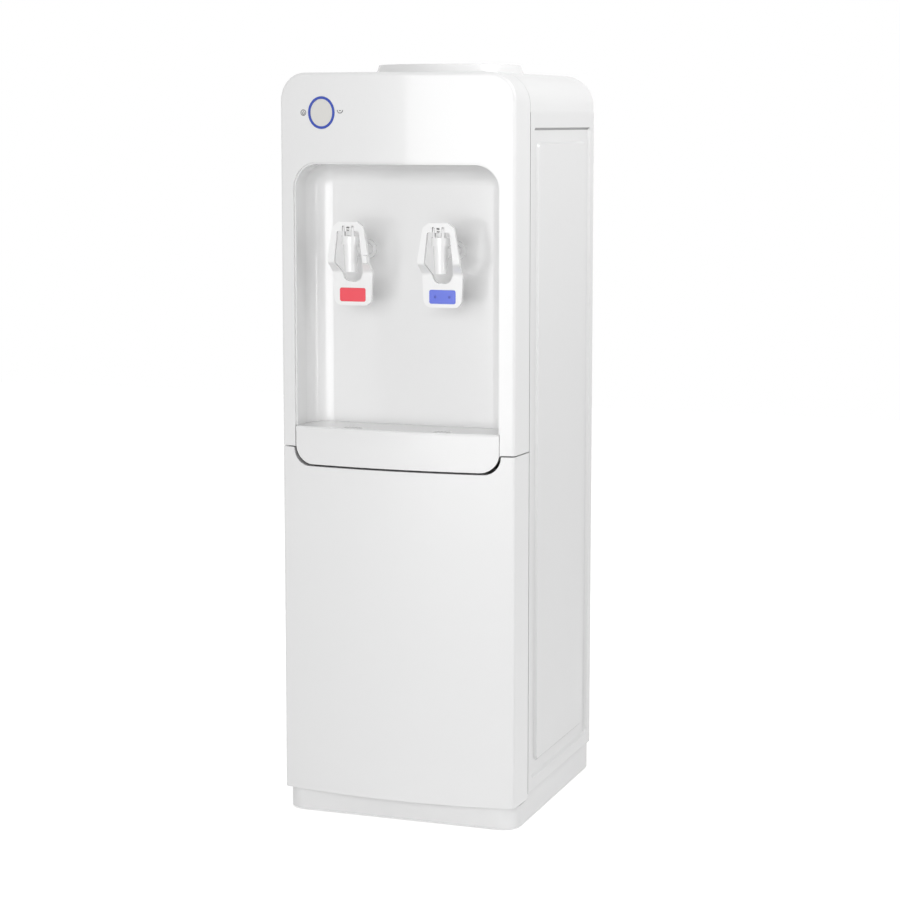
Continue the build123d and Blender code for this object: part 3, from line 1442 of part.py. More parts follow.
def rocker(x):
    """Rocker with two sloped faces, at rest tipped to its off side."""
    pivot_y = recess_y - 2
    half_h = rocker_height / 2
    points = [(pivot_y - 4, -half_h * 0.6), (pivot_y + 2.4, -half_h + 0.9), (pivot_y + 5.6, -half_h + 0.9),
              (pivot_y + 4.2, 0), (pivot_y + 5.6, half_h - 0.9), (pivot_y + 2.4, half_h - 0.9),
              (pivot_y - 4, half_h * 0.6)]
    outline = Pos(0, switch_z) * make_face(Polyline(*points, close=True))
    key = extrude(facing_right(x - rocker_width / 2) * outline, amount=rocker_width)
    return key.rotate(Axis((x, pivot_y, switch_z), (1, 0, 0)), rocker_swing)


def cord_gland():
    """Round rubber gland in the back panel."""
    z = switch_z
    gland = rod_y(gland_x, recess_y - sheet - 2, recess_y + gland_length, z, gland_radius)
    gland = chamfer(gland.edges().sort_by(Axis.Y)[-1], 2.5)
    gland += rod_y(gland_x, recess_y, recess_y + 2, z, gland_radius + 3)
    gland += rod_y(gland_x, recess_y - sheet - 3, recess_y - sheet, z, gland_radius + 1.5)
    return gland - rod_y(gland_x, recess_y - 20, recess_y + 20, z, gland_bore)


def drain_spigot():
    """Drain outlet of the hot tank: an elbow inside and a spigot outside the back panel."""
    x = drain_x
    spigot = rod_y(x, recess_y - sheet, recess_y + drain_length, drain_z, drain_radius)
    spigot += rod_y(x, recess_y - sheet - 2, recess_y - sheet, drain_z, drain_radius + 3)
    spigot += rod_y(x, line_y, recess_y, drain_z, hose_radius)
    spigot += rod_z(x, line_y, drain_z - hose_radius, drain_z + drain_radius + stub_length, hose_bore)
    spigot += rod_z(x, line_y, drain_z - hose_radius, drain_z + drain_radius, hose_radius)
    spigot -= rod_y(x, line_y, recess_y + drain_length + 1, drain_z, drain_bore - 1)
    return spigot - rod_z(x, line_y, drain_z, drain_z + drain_radius + stub_length + 1, hose_bore - 1)


def drain_cap():
    """Screw cap over the drain spigot, with finger grooves."""
    y0 = recess_y + 2
    y1 = recess_y + drain_length + drain_cap_wall + 0.3
    radius = drain_radius + drain_fit + drain_cap_wall
    cap = rod_y(drain_x, y0, y1, drain_z, radius)
    cap = fillet(cap.edges().sort_by(Axis.Y)[-1], 1)
    for index in range(12):
        groove = rod_y(radius + 0.6, y0 - 1, y1 + 1, 0, 1.3)
        cap -= Pos(drain_x, 0, drain_z) * Rot(0, index * 30, 0) * groove
    return cap - rod_y(drain_x, y0 - 1, recess_y + drain_length + 0.3, drain_z, drain_radius + drain_fit)


# ---- assembly list ----
nodes = {}
nodes["base_plinth"] = base_plinth()
nodes["feet"] = feet()
nodes["side_panel_right"] = side_panel_right()
nodes["side_panel_left"] = mirror(nodes["side_panel_right"], Plane.YZ)
nodes["rear_panel"] = rear_panel()
nodes["panel_screws"] = panel_screws()
nodes["inner_shelves"] = [mid_shelf(), upper_shelf()]
nodes["top_cover"] = top_cover()
nodes["bottle_seat"] = bottle_seat()
nodes["bottle_probe"] = bottle_probe()
nodes["tank_seal"] = tank_seal()
nodes["front_fascia"] = front_fascia()
nodes["tap_niche"] = tap_niche()
nodes["indicator_ring"] = indicator_ring()
nodes["indicator_lens"] = indicator_lens()
nodes["indicator_board"] = indicator_board()
nodes["drip_tray"] = drip_tray()
nodes["drip_grille"] = drip_grille()
for side, place in (("hot", -tap_x), ("cold", tap_x)):
    nodes[side + "_valve_stem"] = [valve_stem(place), valve_plug(place)]
    nodes[side + "_paddle"] = paddle(place, side == "hot")
    nodes[side + "_insert"] = paddle_insert(place)
for name, make in (("tap_bodies", tap_body), ("tap_nuts", tap_nut), ("tap_caps", tap_cap),
                   ("tap_pivots", tap_pivot), ("valve_springs", valve_spring)):
    nodes[name] = [make(-tap_x), make(tap_x)]
nodes["hot_safety_button"] = safety_button(-tap_x)
nodes["cabinet_liner"] = cabinet_liner()
nodes["cabinet_door"] = cabinet_door()
nodes["door_inner_panel"] = door_inner_panel()
nodes["strike_plate"] = strike_plate()
nodes["door_magnet"] = door_magnet()
nodes["door_hinges"] = [lower_hinge(), upper_hinge()]
nodes["hinge_pins"] = hinge_pins()
nodes["cold_tank"] = cold_tank()
nodes["evaporator_coil"] = evaporator_coil()
nodes["foam_body"] = foam_body()
nodes["foam_lid"] = foam_lid()
nodes["hot_tank"] = hot_tank()
nodes["hot_tank_stand"] = hot_tank_stand()
nodes["heater_band"] = heater_band()
nodes["thermostats"] = thermostats()
nodes["water_hoses"] = [cold_hose(), hot_hose(), supply_hose(), drain_hose()]
nodes["control_box"] = control_box()
nodes["compressor"] = compressor()
nodes["compressor_grommets"] = compressor_grommets()
nodes["relay_cover"] = relay_cover()
nodes["condenser_tube"] = condenser_tube()
nodes["condenser_wires"] = condenser_wires()
nodes["condenser_brackets"] = condenser_brackets()
nodes["refrigerant_pipes"] = [discharge_pipe(), suction_pipe(), filter_drier(), capillary_tube()]
for side, place in zip(("hot", "cold"), switch_places()):
    nodes[side + "_rocker"] = rocker(place)
nodes["switch_housings"] = [switch_housing(place) for place in switch_places()]
nodes["cord_gland"] = cord_gland()
nodes["drain_spigot"] = drain_spigot()
nodes["drain_cap"] = drain_cap()

for name, shape in nodes.items():
    solids = shape if isinstance(shape, list) else [shape]
    export_step(Compound(children=[Part(s.wrapped) for s in solids]), f"parts/{name}.step")
print(len(nodes), "nodes")
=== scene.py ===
import bpy
import bmesh
import math
from mathutils import Matrix, Vector


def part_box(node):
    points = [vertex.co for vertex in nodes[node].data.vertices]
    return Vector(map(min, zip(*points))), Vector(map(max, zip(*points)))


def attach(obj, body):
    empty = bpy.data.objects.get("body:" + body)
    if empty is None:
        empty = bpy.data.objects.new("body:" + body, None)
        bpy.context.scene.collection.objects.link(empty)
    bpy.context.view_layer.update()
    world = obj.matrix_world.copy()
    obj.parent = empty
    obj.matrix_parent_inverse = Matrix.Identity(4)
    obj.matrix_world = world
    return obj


# Dress of the floor-standing water dispenser: finishes, signs, plate dots, studio and camera.
# Metres. The front faces -Y, +X is to the right, +Z is up.

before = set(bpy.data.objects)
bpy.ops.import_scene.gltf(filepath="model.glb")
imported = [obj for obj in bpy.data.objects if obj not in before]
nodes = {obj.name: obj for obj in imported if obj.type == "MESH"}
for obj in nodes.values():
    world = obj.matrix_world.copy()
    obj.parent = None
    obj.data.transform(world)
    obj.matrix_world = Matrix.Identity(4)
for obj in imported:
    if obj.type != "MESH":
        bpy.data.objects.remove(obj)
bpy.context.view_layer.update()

# ---- places taken from the frame ----
ring_low, ring_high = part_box("indicator_ring")
ring_x = (ring_low.x + ring_high.x) / 2
ring_z = (ring_low.z + ring_high.z) / 2
crest_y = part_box("front_fascia")[0].y
front_bow = 0.0144
front_half = 0.152
bow_radius = (front_half ** 2 + front_bow ** 2) / (2 * front_bow)

# ---- sizes of the scene's own pieces ----
sign_offset_left = 0.0251
sign_offset_right = 0.0256
ring_stroke = 0.0010
mark_stroke = 0.0009
drop_stroke = 0.0012
ink_thickness = 0.00006
ink_lift = 0.00003
power_ring_radius = 0.0034
power_arc_radius = 0.0015
power_arc_drop = 0.0006
power_bar_low = 0.0004
power_bar_high = 0.0022
cup_lift = 0.0018
cup_radius = 0.0036
cup_rim_lift = 0.0012
drop_half = 0.0010
drop_lift = 0.0006
dot_radius = 0.0017
dot_crown_radius = 0.0013
dot_foot = -0.0002
dot_shoulder = 0.00005
dot_crown = 0.00012
dot_top = 0.00014
dot_steps = 24
dot_share = 0.27             # distance from the plate's middle, as a share of its width
on_axis = 1e-9               # radius below which a point of a lathe profile lies on the axis

# ---- painted shade on the pressed sides ----
shade_direction = (0, 0.8, -0.6)     # back and down
shade_facing_start = 0.15
shade_facing_full = 0.4
shade_sideways_start = 0.3
shade_sideways_full = 0.6

# ---- floor, dome and camera ----
floor_half = 4.0
floor_tone_thrown = 0.6      # for the light that the floor throws back
floor_tone_seen = 0.95       # for the camera and reflections
floor_glow_seen = 0.58
dome_front = 0.52
dome_back = 0.42
camera_place = (1.0251, -2.7948, 0.8686)
camera_tilt_down = 6.933
camera_turn = 19.879
camera_sensor = 36.0
camera_lens = 93.37
camera_shift = -0.05
camera_far = 50


def front_y(x, proud=0.0):
    """Y of the bowed front at a place across it, with an offset to the outside."""
    return crest_y + bow_radius - math.sqrt((bow_radius + proud) ** 2 - x * x)


# ---- shared surface effects ----
def effect_group(name, inputs, outputs):
    """Empty shader group with named sockets; each input is (name, kind, value)."""
    group = bpy.data.node_groups.new(name, "ShaderNodeTree")
    for label, kind, value in inputs:
        group.interface.new_socket(label, in_out="INPUT", socket_type=kind).default_value = value
    for label, kind in outputs:
        group.interface.new_socket(label, in_out="OUTPUT", socket_type=kind)
    start = group.nodes.new("NodeGroupInput")
    end = group.nodes.new("NodeGroupOutput")
    return group, start, end


def add(tree, kind, **settings):
    """New node with its properties and input values set."""
    node = tree.nodes.new(kind)
    for key, value in settings.items():
        if hasattr(node, key):
            setattr(node, key, value)
        else:
            node.inputs[key.replace("_", " ").title()].default_value = value
    return node


def scaled_place(tree, scale_x=1.0, scale_y=1.0, scale_z=1.0):
    """Coordinates that stay with the piece, stretched along an axis."""
    place = tree.nodes.new("ShaderNodeTexCoord")
    stretch = tree.nodes.new("ShaderNodeMapping")
    stretch.inputs["Scale"].default_value = (scale_x, scale_y, scale_z)
    tree.links.new(place.outputs["Object"], stretch.inputs["Vector"])
    return stretch.outputs["Vector"]


def tone_drift():
    """Slow drift of a colour over a large moulding, as resin and paint batches show."""
    group, start, end = effect_group(
        "tone_drift",
        [("Colour", "NodeSocketColor", (0.8, 0.8, 0.8, 1)), ("Drift", "NodeSocketFloat", 0.02),
         ("Scale", "NodeSocketFloat", 6.0)],
        [("Colour", "NodeSocketColor")])
    noise = add(group, "ShaderNodeTexNoise", detail=2.0)
    group.links.new(scaled_place(group), noise.inputs["Vector"])
    group.links.new(start.outputs["Scale"], noise.inputs["Scale"])
    centred = add(group, "ShaderNodeMath", operation="SUBTRACT")
    centred.inputs[1].default_value = 0.5
    group.links.new(noise.outputs["Fac"], centred.inputs[0])
    swing = add(group, "ShaderNodeMath", operation="MULTIPLY_ADD")
    swing.inputs[2].default_value = 1.0
    group.links.new(centred.outputs[0], swing.inputs[0])
    group.links.new(start.outputs["Drift"], swing.inputs[1])
    toned = add(group, "ShaderNodeVectorMath", operation="SCALE")
    group.links.new(start.outputs["Colour"], toned.inputs[0])
    group.links.new(swing.outputs[0], toned.inputs["Scale"])
    group.links.new(toned.outputs[0], end.inputs["Colour"])
    return group


def moulded_grain():
    """Fine spark-eroded grain of a moulding: a height and a roughness that wanders with it."""
    group, start, end = effect_group(
        "moulded_grain",
        [("Scale", "NodeSocketFloat", 900.0), ("Roughness", "NodeSocketFloat", 0.3),
         ("Spread", "NodeSocketFloat", 0.05)],
        [("Height", "NodeSocketFloat"), ("Roughness", "NodeSocketFloat")])
    place = scaled_place(group)
    fine = add(group, "ShaderNodeTexNoise", detail=3.0)
    group.links.new(place, fine.inputs["Vector"])
    group.links.new(start.outputs["Scale"], fine.inputs["Scale"])
    broad = add(group, "ShaderNodeTexNoise", scale=14.0, detail=3.0)
    group.links.new(place, broad.inputs["Vector"])
    centred = add(group, "ShaderNodeMath", operation="SUBTRACT")
    centred.inputs[1].default_value = 0.5
    group.links.new(broad.outputs["Fac"], centred.inputs[0])
    rough = add(group, "ShaderNodeMath", operation="MULTIPLY_ADD")
    group.links.new(centred.outputs[0], rough.inputs[0])
    group.links.new(start.outputs["Spread"], rough.inputs[1])
    group.links.new(start.outputs["Roughness"], rough.inputs[2])
    group.links.new(fine.outputs["Fac"], end.inputs["Height"])
    group.links.new(rough.outputs[0], end.inputs["Roughness"])
    return group


def orange_peel():
    """Gentle ripple that sprayed or powder paint leaves on sheet steel."""
    group, start, end = effect_group(
        "orange_peel", [("Scale", "NodeSocketFloat", 260.0), ("Speckle", "NodeSocketFloat", 0.2)],
        [("Height", "NodeSocketFloat")])
    place = scaled_place(group)
    cells = add(group, "ShaderNodeTexVoronoi", feature="SMOOTH_F1")
    group.links.new(place, cells.inputs["Vector"])
    group.links.new(start.outputs["Scale"], cells.inputs["Scale"])
    speck = add(group, "ShaderNodeTexNoise", scale=1500.0, detail=2.0)
    group.links.new(place, speck.inputs["Vector"])
    total = add(group, "ShaderNodeMath", operation="MULTIPLY_ADD")
    group.links.new(speck.outputs["Fac"], total.inputs[0])
    group.links.new(start.outputs["Speckle"], total.inputs[1])
    group.links.new(cells.outputs["Distance"], total.inputs[2])
    group.links.new(total.outputs[0], end.inputs["Height"])
    return group


def drawn_lines():
    """Fine lines left by rolling or drawing metal, along one axis of the piece."""
    group, start, end = effect_group(
        "drawn_lines", [("Roughness", "NodeSocketFloat", 0.3), ("Spread", "NodeSocketFloat", 0.2),
                        ("Tint", "NodeSocketColor", (0.6, 0.6, 0.6, 1))],
        [("Height", "NodeSocketFloat"), ("Roughness", "NodeSocketFloat"),
         ("Colour", "NodeSocketColor")])
    lines = add(group, "ShaderNodeTexNoise", scale=1.0, detail=4.0)
    group.links.new(scaled_place(group, 900.0, 900.0, 14.0), lines.inputs["Vector"])
    rough = add(group, "ShaderNodeMath", operation="MULTIPLY_ADD")
    group.links.new(lines.outputs["Fac"], rough.inputs[0])
    group.links.new(start.outputs["Spread"], rough.inputs[1])
    group.links.new(start.outputs["Roughness"], rough.inputs[2])
    shade = add(group, "ShaderNodeMapRange")
    shade.inputs["To Min"].default_value = 0.88
    shade.inputs["To Max"].default_value = 1.1
    group.links.new(lines.outputs["Fac"], shade.inputs["Value"])
    toned = add(group, "ShaderNodeVectorMath", operation="SCALE")
    group.links.new(start.outputs["Tint"], toned.inputs[0])
    group.links.new(shade.outputs["Result"], toned.inputs["Scale"])
    group.links.new(lines.outputs["Fac"], end.inputs["Height"])
    group.links.new(rough.outputs[0], end.inputs["Roughness"])
    group.links.new(toned.outputs[0], end.inputs["Colour"])
    return group


def painted_slope_shade():
    """Painted shade: the colour darkened on the slopes of a pressing that face back and down,
    standing in for their shadow.
    """
    group, start, end = effect_group(
        "painted_slope_shade",
        [("Colour", "NodeSocketColor", (0.8, 0.8, 0.8, 1)), ("Amount", "NodeSocketFloat", 0.5)],
        [("Colour", "NodeSocketColor")])
    facing = group.nodes.new("ShaderNodeNewGeometry")
    lee = add(group, "ShaderNodeVectorMath", operation="DOT_PRODUCT")
    lee.inputs[1].default_value = shade_direction
    group.links.new(facing.outputs["True Normal"], lee.inputs[0])
    turned = add(group, "ShaderNodeMapRange")
    turned.inputs["From Min"].default_value = shade_facing_start
    turned.inputs["From Max"].default_value = shade_facing_full
    group.links.new(lee.outputs["Value"], turned.inputs["Value"])
    parts = group.nodes.new("ShaderNodeSeparateXYZ")
    group.links.new(facing.outputs["True Normal"], parts.inputs[0])
    sideways = add(group, "ShaderNodeMath", operation="ABSOLUTE")
    group.links.new(parts.outputs["X"], sideways.inputs[0])
    sloped = add(group, "ShaderNodeMapRange")
    sloped.inputs["From Min"].default_value = shade_sideways_start
    sloped.inputs["From Max"].default_value = shade_sideways_full
    group.links.new(sideways.outputs[0], sloped.inputs["Value"])
    both = add(group, "ShaderNodeMath", operation="MULTIPLY")
    group.links.new(turned.outputs["Result"], both.inputs[0])
    group.links.new(sloped.outputs["Result"], both.inputs[1])
    weight = add(group, "ShaderNodeMath", operation="MULTIPLY")
    group.links.new(both.outputs[0], weight.inputs[0])
    group.links.new(start.outputs["Amount"], weight.inputs[1])
    kept = add(group, "ShaderNodeMath", operation="SUBTRACT")
    kept.inputs[0].default_value = 1.0
    group.links.new(weight.outputs[0], kept.inputs[1])
    dulled = add(group, "ShaderNodeVectorMath", operation="SCALE")
    group.links.new(start.outputs["Colour"], dulled.inputs[0])
    group.links.new(kept.outputs[0], dulled.inputs["Scale"])
    group.links.new(dulled.outputs[0], end.inputs["Colour"])
    return group


tone = tone_drift()
slope_shade = painted_slope_shade()
grain = moulded_grain()
peel = orange_peel()
drawn = drawn_lines()


# ---- finishes ----
def new_finish(name):
    """Material with its shader, and a bump that the effects feed."""
    finish = bpy.data.materials.new(name)
    finish.use_nodes = True
    tree = finish.node_tree
    shader = tree.nodes["Principled BSDF"]
    bump = tree.nodes.new("ShaderNodeBump")
    tree.links.new(bump.outputs["Normal"], shader.inputs["Normal"])
    return finish, tree, shader, bump


def place_effect(tree, group, **values):
    """Shared effect placed in a material, with its inputs set."""
    node = tree.nodes.new("ShaderNodeGroup")
    node.node_tree = group
    for key, value in values.items():
        node.inputs[key.title()].default_value = value
    return node


def moulded(name, colour, roughness, drift=0.015, scale=900.0, depth=0.00001, spread=0.05,
            coat=0.0):
    """Injection-moulded plastic or rubber."""
    finish, tree, shader, bump = new_finish(name)
    toned = place_effect(tree, tone, colour=(*colour, 1), drift=drift, scale=5.0)
    skin = place_effect(tree, grain, scale=scale, roughness=roughness, spread=spread)
    tree.links.new(toned.outputs["Colour"], shader.inputs["Base Color"])
    tree.links.new(skin.outputs["Roughness"], shader.inputs["Roughness"])
    tree.links.new(skin.outputs["Height"], bump.inputs["Height"])
    bump.inputs["Distance"].default_value = depth
    shader.inputs["Coat Weight"].default_value = coat
    shader.inputs["Coat Roughness"].default_value = 0.08
    return finish


def painted(name, colour, roughness, drift=0.02, scale=260.0, depth=0.00002, coat=0.25,
            painted_shading=0.0):
    """Paint or enamel over sheet steel."""
    finish, tree, shader, bump = new_finish(name)
    toned = place_effect(tree, tone, colour=(*colour, 1), drift=drift, scale=4.0)
    skin = place_effect(tree, grain, scale=700.0, roughness=roughness, spread=0.06)
    ripple = place_effect(tree, peel, scale=scale, speckle=0.15)
    # painted shade: slopes that face back and down are darkened as if in shadow
    shaded = place_effect(tree, slope_shade, amount=painted_shading)
    tree.links.new(toned.outputs["Colour"], shaded.inputs["Colour"])
    tree.links.new(shaded.outputs["Colour"], shader.inputs["Base Color"])
    tree.links.new(skin.outputs["Roughness"], shader.inputs["Roughness"])
    tree.links.new(ripple.outputs["Height"], bump.inputs["Height"])
    bump.inputs["Distance"].default_value = depth
    shader.inputs["Coat Weight"].default_value = coat
    shader.inputs["Coat Roughness"].default_value = 0.12
    return finish


def bare_metal(name, tint, roughness, spread=0.2, depth=0.000004):
    """Bare rolled, drawn or plated metal."""
    finish, tree, shader, bump = new_finish(name)
    lines = place_effect(tree, drawn, tint=(*tint, 1), roughness=roughness, spread=spread)
    tree.links.new(lines.outputs["Colour"], shader.inputs["Base Color"])
    tree.links.new(lines.outputs["Roughness"], shader.inputs["Roughness"])
    tree.links.new(lines.outputs["Height"], bump.inputs["Height"])
    bump.inputs["Distance"].default_value = depth
    shader.inputs["Metallic"].default_value = 1.0
    return finish


shell_white = moulded("shell_white", (0.80, 0.80, 0.80), 0.30, coat=0.5)
niche_white = moulded("niche_white", (0.79, 0.79, 0.79), 0.22, depth=0.000005, coat=0.5)
# the side panels carry painted shade on the back- and down-facing slopes of their pressing
side_white = painted("side_white", (0.76, 0.76, 0.76), 0.34, painted_shading=0.75)
base_white = moulded("base_white", (0.82, 0.82, 0.82), 0.34, depth=0.00002)
seat_white = moulded("seat_white", (0.82, 0.82, 0.82), 0.25, coat=0.3)
tap_white = moulded("tap_white", (0.86, 0.86, 0.86), 0.18, depth=0.000004, coat=0.6)
grille_white = moulded("grille_white", (0.76, 0.76, 0.76), 0.26, coat=0.3)
liner_white = moulded("liner_white", (0.78, 0.785, 0.785), 0.32, depth=0.00002)
hot_red = moulded("hot_red", (0.86, 0.055, 0.085), 0.16, drift=0.03, depth=0.000003, coat=0.6)
cold_blue = moulded("cold_blue", (0.105, 0.155, 0.72), 0.16, drift=0.03, depth=0.000003, coat=0.6)
ring_blue = moulded("ring_blue", (0.02, 0.06, 0.42), 0.2, drift=0.12, depth=0.000003, coat=0.5)
lens_grey = moulded("lens_grey", (0.70, 0.69, 0.665), 0.3, depth=0.000004, coat=0.3)
sign_ink = moulded("sign_ink", (0.16, 0.16, 0.165), 0.5, drift=0.1)
dot_ink = moulded("dot_ink", (0.045, 0.07, 0.45), 0.3, drift=0.1)
black_rubber = moulded("black_rubber", (0.02, 0.02, 0.021), 0.6, drift=0.1, scale=500.0,
                       depth=0.00003)
black_plastic = moulded("black_plastic", (0.022, 0.022, 0.023), 0.42, drift=0.1, depth=0.00002)
hose_silicone = moulded("hose_silicone", (0.72, 0.72, 0.69), 0.35, depth=0.000006)
foam_cream = moulded("foam_cream", (0.72, 0.66, 0.48), 0.8, drift=0.12, scale=350.0, depth=0.0002)
board_green = moulded("board_green", (0.03, 0.16, 0.07), 0.4, drift=0.1)
switch_red = moulded("switch_red", (0.52, 0.02, 0.025), 0.22, drift=0.04, coat=0.4)
switch_green = moulded("switch_green", (0.02, 0.26, 0.07), 0.22, drift=0.04, coat=0.4)
enamel_black = painted("enamel_black", (0.014, 0.014, 0.015), 0.28, scale=320.0, coat=0.5)
galvanised = bare_metal("galvanised", (0.56, 0.57, 0.575), 0.34)
plated_steel = bare_metal("plated_steel", (0.60, 0.60, 0.59), 0.22)
stainless = bare_metal("stainless", (0.62, 0.61, 0.59), 0.2)
aluminium_band = bare_metal("aluminium_band", (0.72, 0.72, 0.72), 0.3)
copper = bare_metal("copper", (0.74, 0.36, 0.22), 0.24)

worn_by = {
    shell_white: ["front_fascia", "cabinet_door", "top_cover", "drip_tray"],
    niche_white: ["tap_niche"],
    side_white: ["side_panel_right", "side_panel_left"],
    base_white: ["base_plinth", "control_box", "drain_spigot", "drain_cap", "door_magnet"],
    seat_white: ["bottle_seat", "bottle_probe"],
    tap_white: ["hot_paddle", "cold_paddle", "tap_bodies", "tap_caps", "tap_nuts",
                "hot_safety_button", "hot_valve_stem", "cold_valve_stem"],
    grille_white: ["drip_grille"],
    liner_white: ["cabinet_liner", "door_inner_panel"],
    hot_red: ["hot_insert"],
    cold_blue: ["cold_insert"],
    ring_blue: ["indicator_ring"],
    lens_grey: ["indicator_lens"],
    board_green: ["indicator_board"],
    black_rubber: ["feet", "compressor_grommets", "cord_gland"],
    black_plastic: ["relay_cover", "thermostats", "switch_housings", "condenser_brackets"],
    hose_silicone: ["water_hoses", "tank_seal"],
    foam_cream: ["foam_body", "foam_lid"],
    switch_red: ["hot_rocker"],
    switch_green: ["cold_rocker"],
    enamel_black: ["compressor", "condenser_tube", "condenser_wires"],
    galvanised: ["rear_panel", "inner_shelves", "hot_tank_stand"],
    plated_steel: ["panel_screws", "strike_plate", "door_hinges", "hinge_pins", "tap_pivots",
                   "valve_springs"],
    stainless: ["cold_tank", "hot_tank"],
    aluminium_band: ["heater_band"],
    copper: ["evaporator_coil", "refrigerant_pipes"],
}
for finish, names in worn_by.items():
    for name in names:
        nodes[name].data.materials.clear()
        nodes[name].data.materials.append(finish)


# ---- mesh helpers ----
def piece_from(mesh_data, name, finish, body):
    """Object from a bmesh, with a finish, riding on a body."""
    mesh = bpy.data.meshes.new(name)
    mesh_data.to_mesh(mesh)
    mesh_data.free()
    piece = bpy.data.objects.new(name, mesh)
    bpy.context.scene.collection.objects.link(piece)
    mesh.materials.append(finish)
    for face in mesh.polygons:
        face.use_smooth = True
    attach(piece, body)


def lathe(bm, profile, steps, placed):
    """Closed solid of revolution about Z from (radius, z) points that start and end on the axis."""
    rings = []
    for radius, z in profile:
        if radius < on_axis:
            rings.append([bm.verts.new(placed @ Vector((0, 0, z)))])
            continue
        rings.append([bm.verts.new(placed @ Vector((radius * math.cos(2 * math.pi * k / steps),
                                                    radius * math.sin(2 * math.pi * k / steps), z)))
                      for k in range(steps)])
    for low, high in zip(rings, rings[1:]):
        for k in range(steps):
            n = (k + 1) % steps
            corners = [low[k % len(low)], low[n % len(low)],
                       high[n % len(high)], high[k % len(high)]]
            unique = list(dict.fromkeys(corners))
            if len(unique) > 2:
                bm.faces.new(unique)


def printed_stroke(bm, points, width, closed=False):
    """Flat raised stroke on the bowed front along (x, z) points."""
    ink_top = ink_lift + ink_thickness
    count = len(points)
    sections = []
    for index, (x, z) in enumerate(points):
        before = points[index - 1] if index or closed else points[index]
        after = points[(index + 1) % count] if index < count - 1 or closed else points[index]
        run = Vector((after[0] - before[0], after[1] - before[1])).normalized()
        side = Vector((-run.y, run.x)) * width / 2
        ring = []
        for way, lift in ((1, ink_lift), (1, ink_top), (-1, ink_top), (-1, ink_lift)):
            px, pz = x + way * side.x, z + way * side.y
            ring.append(bm.verts.new((px, front_y(px, lift), pz)))
        sections.append(ring)
    pairs = list(zip(sections, sections[1:]))
    if closed:
        pairs.append((sections[-1], sections[0]))
    for first, second in pairs:
        for k in range(4):
            bm.faces.new((first[k], first[(k + 1) % 4], second[(k + 1) % 4], second[k]))
    if not closed:
        bm.faces.new(sections[0][::-1])
        bm.faces.new(sections[-1])


def arc_points(x, z, radius, start, end, steps):
    """Points on an arc in the plane of the front, angles in degrees."""
    angles = [math.radians(start + (end - start) * k / steps) for k in range(steps + 1)]
    return [(x + radius * math.cos(a), z + radius * math.sin(a)) for a in angles]


# ---- printed signs beside the indicator ----
def power_sign():
    """Ring with a small mark inside, printed left of the indicator."""
    bm = bmesh.new()
    x, z = ring_x - sign_offset_left, ring_z
    printed_stroke(bm, arc_points(x, z, power_ring_radius, 0, 345, 23), ring_stroke, closed=True)
    arc = arc_points(x, z - power_arc_drop, power_arc_radius, 130, 410, 14)
    printed_stroke(bm, arc, mark_stroke)
    printed_stroke(bm, [(x, z + power_bar_low), (x, z + power_bar_high)], mark_stroke)
    piece_from(bm, "power_sign", sign_ink, "root")


def cup_sign():
    """Open cup with a drop, printed right of the indicator."""
    bm = bmesh.new()
    x, z = ring_x + sign_offset_right, ring_z + cup_lift
    printed_stroke(bm, arc_points(x, z + cup_rim_lift, cup_radius, 180, 360, 18), ring_stroke)
    drop = [(x - drop_half, z + drop_lift), (x + drop_half, z + drop_lift)]
    printed_stroke(bm, drop, drop_stroke)
    piece_from(bm, "cup_sign", sign_ink, "root")


power_sign()
cup_sign()


# ---- dots on the blue plate ----
def plate_dots():
    """Two small moulded dots in the cold plate."""
    low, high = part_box("cold_insert")
    middle_z = (low.z + high.z) / 2
    span = (high.x - low.x) * dot_share
    profile = [(0, dot_foot), (dot_radius, dot_foot), (dot_radius, dot_shoulder),
               (dot_crown_radius, dot_crown), (0, dot_top)]
    bm = bmesh.new()
    for side in (-1, 1):
        x = (low.x + high.x) / 2 + side * span
        turned = Matrix.Rotation(math.radians(90), 4, "X")
        placed = Matrix.Translation((x, low.y, middle_z)) @ turned
        lathe(bm, profile, dot_steps, placed)
    bmesh.ops.recalc_face_normals(bm, faces=bm.faces)
    piece_from(bm, "cold_plate_dots", dot_ink, "cold_lever")


plate_dots()


# ---- studio ----
def studio_floor():
    """Pale floor that keeps the soft shadow; white to the camera, greyer in what it throws back."""
    bm = bmesh.new()
    around = ((-1, -1), (1, -1), (1, 1), (-1, 1))
    bm.faces.new([bm.verts.new((x * floor_half, y * floor_half, 0)) for x, y in around])
    mesh = bpy.data.meshes.new("studio_floor")
    bm.to_mesh(mesh)
    bm.free()
    floor = bpy.data.objects.new("studio_floor", mesh)
    bpy.context.scene.collection.objects.link(floor)
    finish = bpy.data.materials.new("studio_floor")
    finish.use_nodes = True
    tree = finish.node_tree
    shader = tree.nodes["Principled BSDF"]
    shader.inputs["Roughness"].default_value = 0.7
    shader.inputs["Specular IOR Level"].default_value = 0.0
    shader.inputs["Emission Color"].default_value = (1, 1, 1, 1)
    path = tree.nodes.new("ShaderNodeLightPath")
    seen = add(tree, "ShaderNodeMath", operation="MAXIMUM")
    tree.links.new(path.outputs["Is Camera Ray"], seen.inputs[0])
    tree.links.new(path.outputs["Is Glossy Ray"], seen.inputs[1])
    paint = add(tree, "ShaderNodeMapRange")
    paint.inputs["To Min"].default_value = floor_tone_thrown
    paint.inputs["To Max"].default_value = floor_tone_seen
    tree.links.new(seen.outputs[0], paint.inputs["Value"])
    tree.links.new(paint.outputs["Result"], shader.inputs["Base Color"])
    lift = add(tree, "ShaderNodeMath", operation="MULTIPLY")
    lift.inputs[1].default_value = floor_glow_seen
    tree.links.new(seen.outputs[0], lift.inputs[0])
    tree.links.new(lift.outputs[0], shader.inputs["Emission Strength"])
    mesh.materials.append(finish)


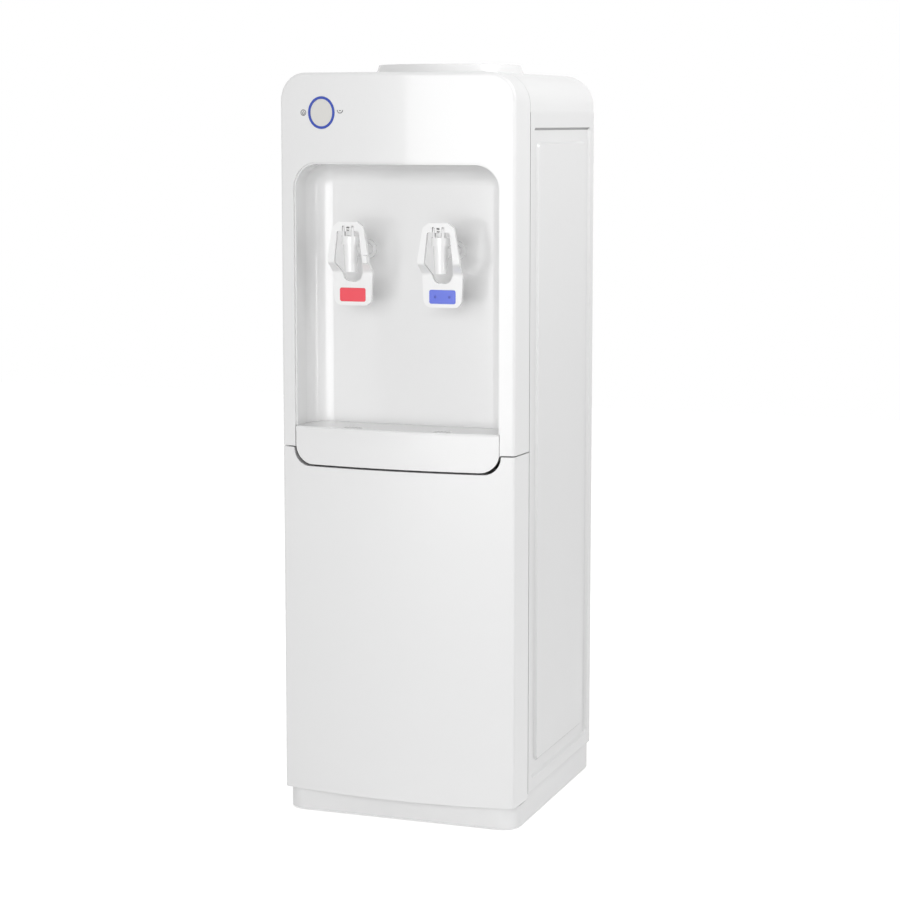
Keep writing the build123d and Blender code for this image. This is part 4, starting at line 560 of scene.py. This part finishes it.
def studio_world():
    """Dome light, weaker behind, with a plain white background for the camera and reflections."""
    world = bpy.data.worlds.new("studio")
    bpy.context.scene.world = world
    world.use_nodes = True
    tree = world.node_tree
    background = tree.nodes["Background"]
    background.inputs["Color"].default_value = (1, 1, 1, 1)
    path = tree.nodes.new("ShaderNodeLightPath")
    seen = add(tree, "ShaderNodeMath", operation="MAXIMUM")
    tree.links.new(path.outputs["Is Camera Ray"], seen.inputs[0])
    tree.links.new(path.outputs["Is Glossy Ray"], seen.inputs[1])
    shown = add(tree, "ShaderNodeMath", operation="MAXIMUM")
    tree.links.new(seen.outputs[0], shown.inputs[0])
    tree.links.new(path.outputs["Is Transmission Ray"], shown.inputs[1])
    place = tree.nodes.new("ShaderNodeTexCoord")
    parts = tree.nodes.new("ShaderNodeSeparateXYZ")
    tree.links.new(place.outputs["Generated"], parts.inputs[0])
    dome = add(tree, "ShaderNodeMapRange")
    dome.inputs["From Min"].default_value = -1.0
    dome.inputs["To Min"].default_value = dome_front
    dome.inputs["To Max"].default_value = dome_back
    tree.links.new(parts.outputs["Y"], dome.inputs["Value"])
    level = add(tree, "ShaderNodeMapRange")
    level.inputs["To Max"].default_value = 1.0
    tree.links.new(shown.outputs[0], level.inputs["Value"])
    tree.links.new(dome.outputs["Result"], level.inputs["To Min"])
    tree.links.new(level.outputs["Result"], background.inputs["Strength"])


def soft_box(name, place, target, width, height, power):
    """Rectangular lamp aimed at a point."""
    lamp = bpy.data.lights.new(name, "AREA")
    lamp.shape = "RECTANGLE"
    lamp.size = width
    lamp.size_y = height
    lamp.energy = power
    holder = bpy.data.objects.new(name, lamp)
    bpy.context.scene.collection.objects.link(holder)
    holder.location = place
    aim = Vector(target) - Vector(place)
    holder.rotation_euler = aim.to_track_quat("-Z", "Y").to_euler()


def camera():
    """Long lens to the right of the front, at about the height of the top."""
    data = bpy.data.cameras.new("camera")
    data.sensor_width = camera_sensor
    data.lens = camera_lens
    data.shift_y = camera_shift
    data.clip_end = camera_far
    holder = bpy.data.objects.new("camera", data)
    bpy.context.scene.collection.objects.link(holder)
    holder.location = camera_place
    holder.rotation_euler = (math.radians(90 - camera_tilt_down), 0, math.radians(camera_turn))
    bpy.context.scene.camera = holder


studio_floor()
studio_world()
# name, place, point aimed at, width, height, watts
for lamp in (("front_lamp", (0.1, -3.5, 1.0), (0, 0, 0.5), 2.4, 2.0, 56),
             ("top_lamp", (0.2, -0.3, 3.2), (0, 0, 0.5), 1.6, 1.6, 2),
             ("side_lamp", (1.1, 0.02, 1.45), (0.155, 0, 0.75), 0.3, 0.4, 6),
             ("edge_lamp", (2.55, -0.93, 0.9), (0.15, -0.15, 0.5), 0.06, 2.0, 9)):
    soft_box(*lamp)
camera()
bpy.context.scene.view_settings.view_transform = "Standard"
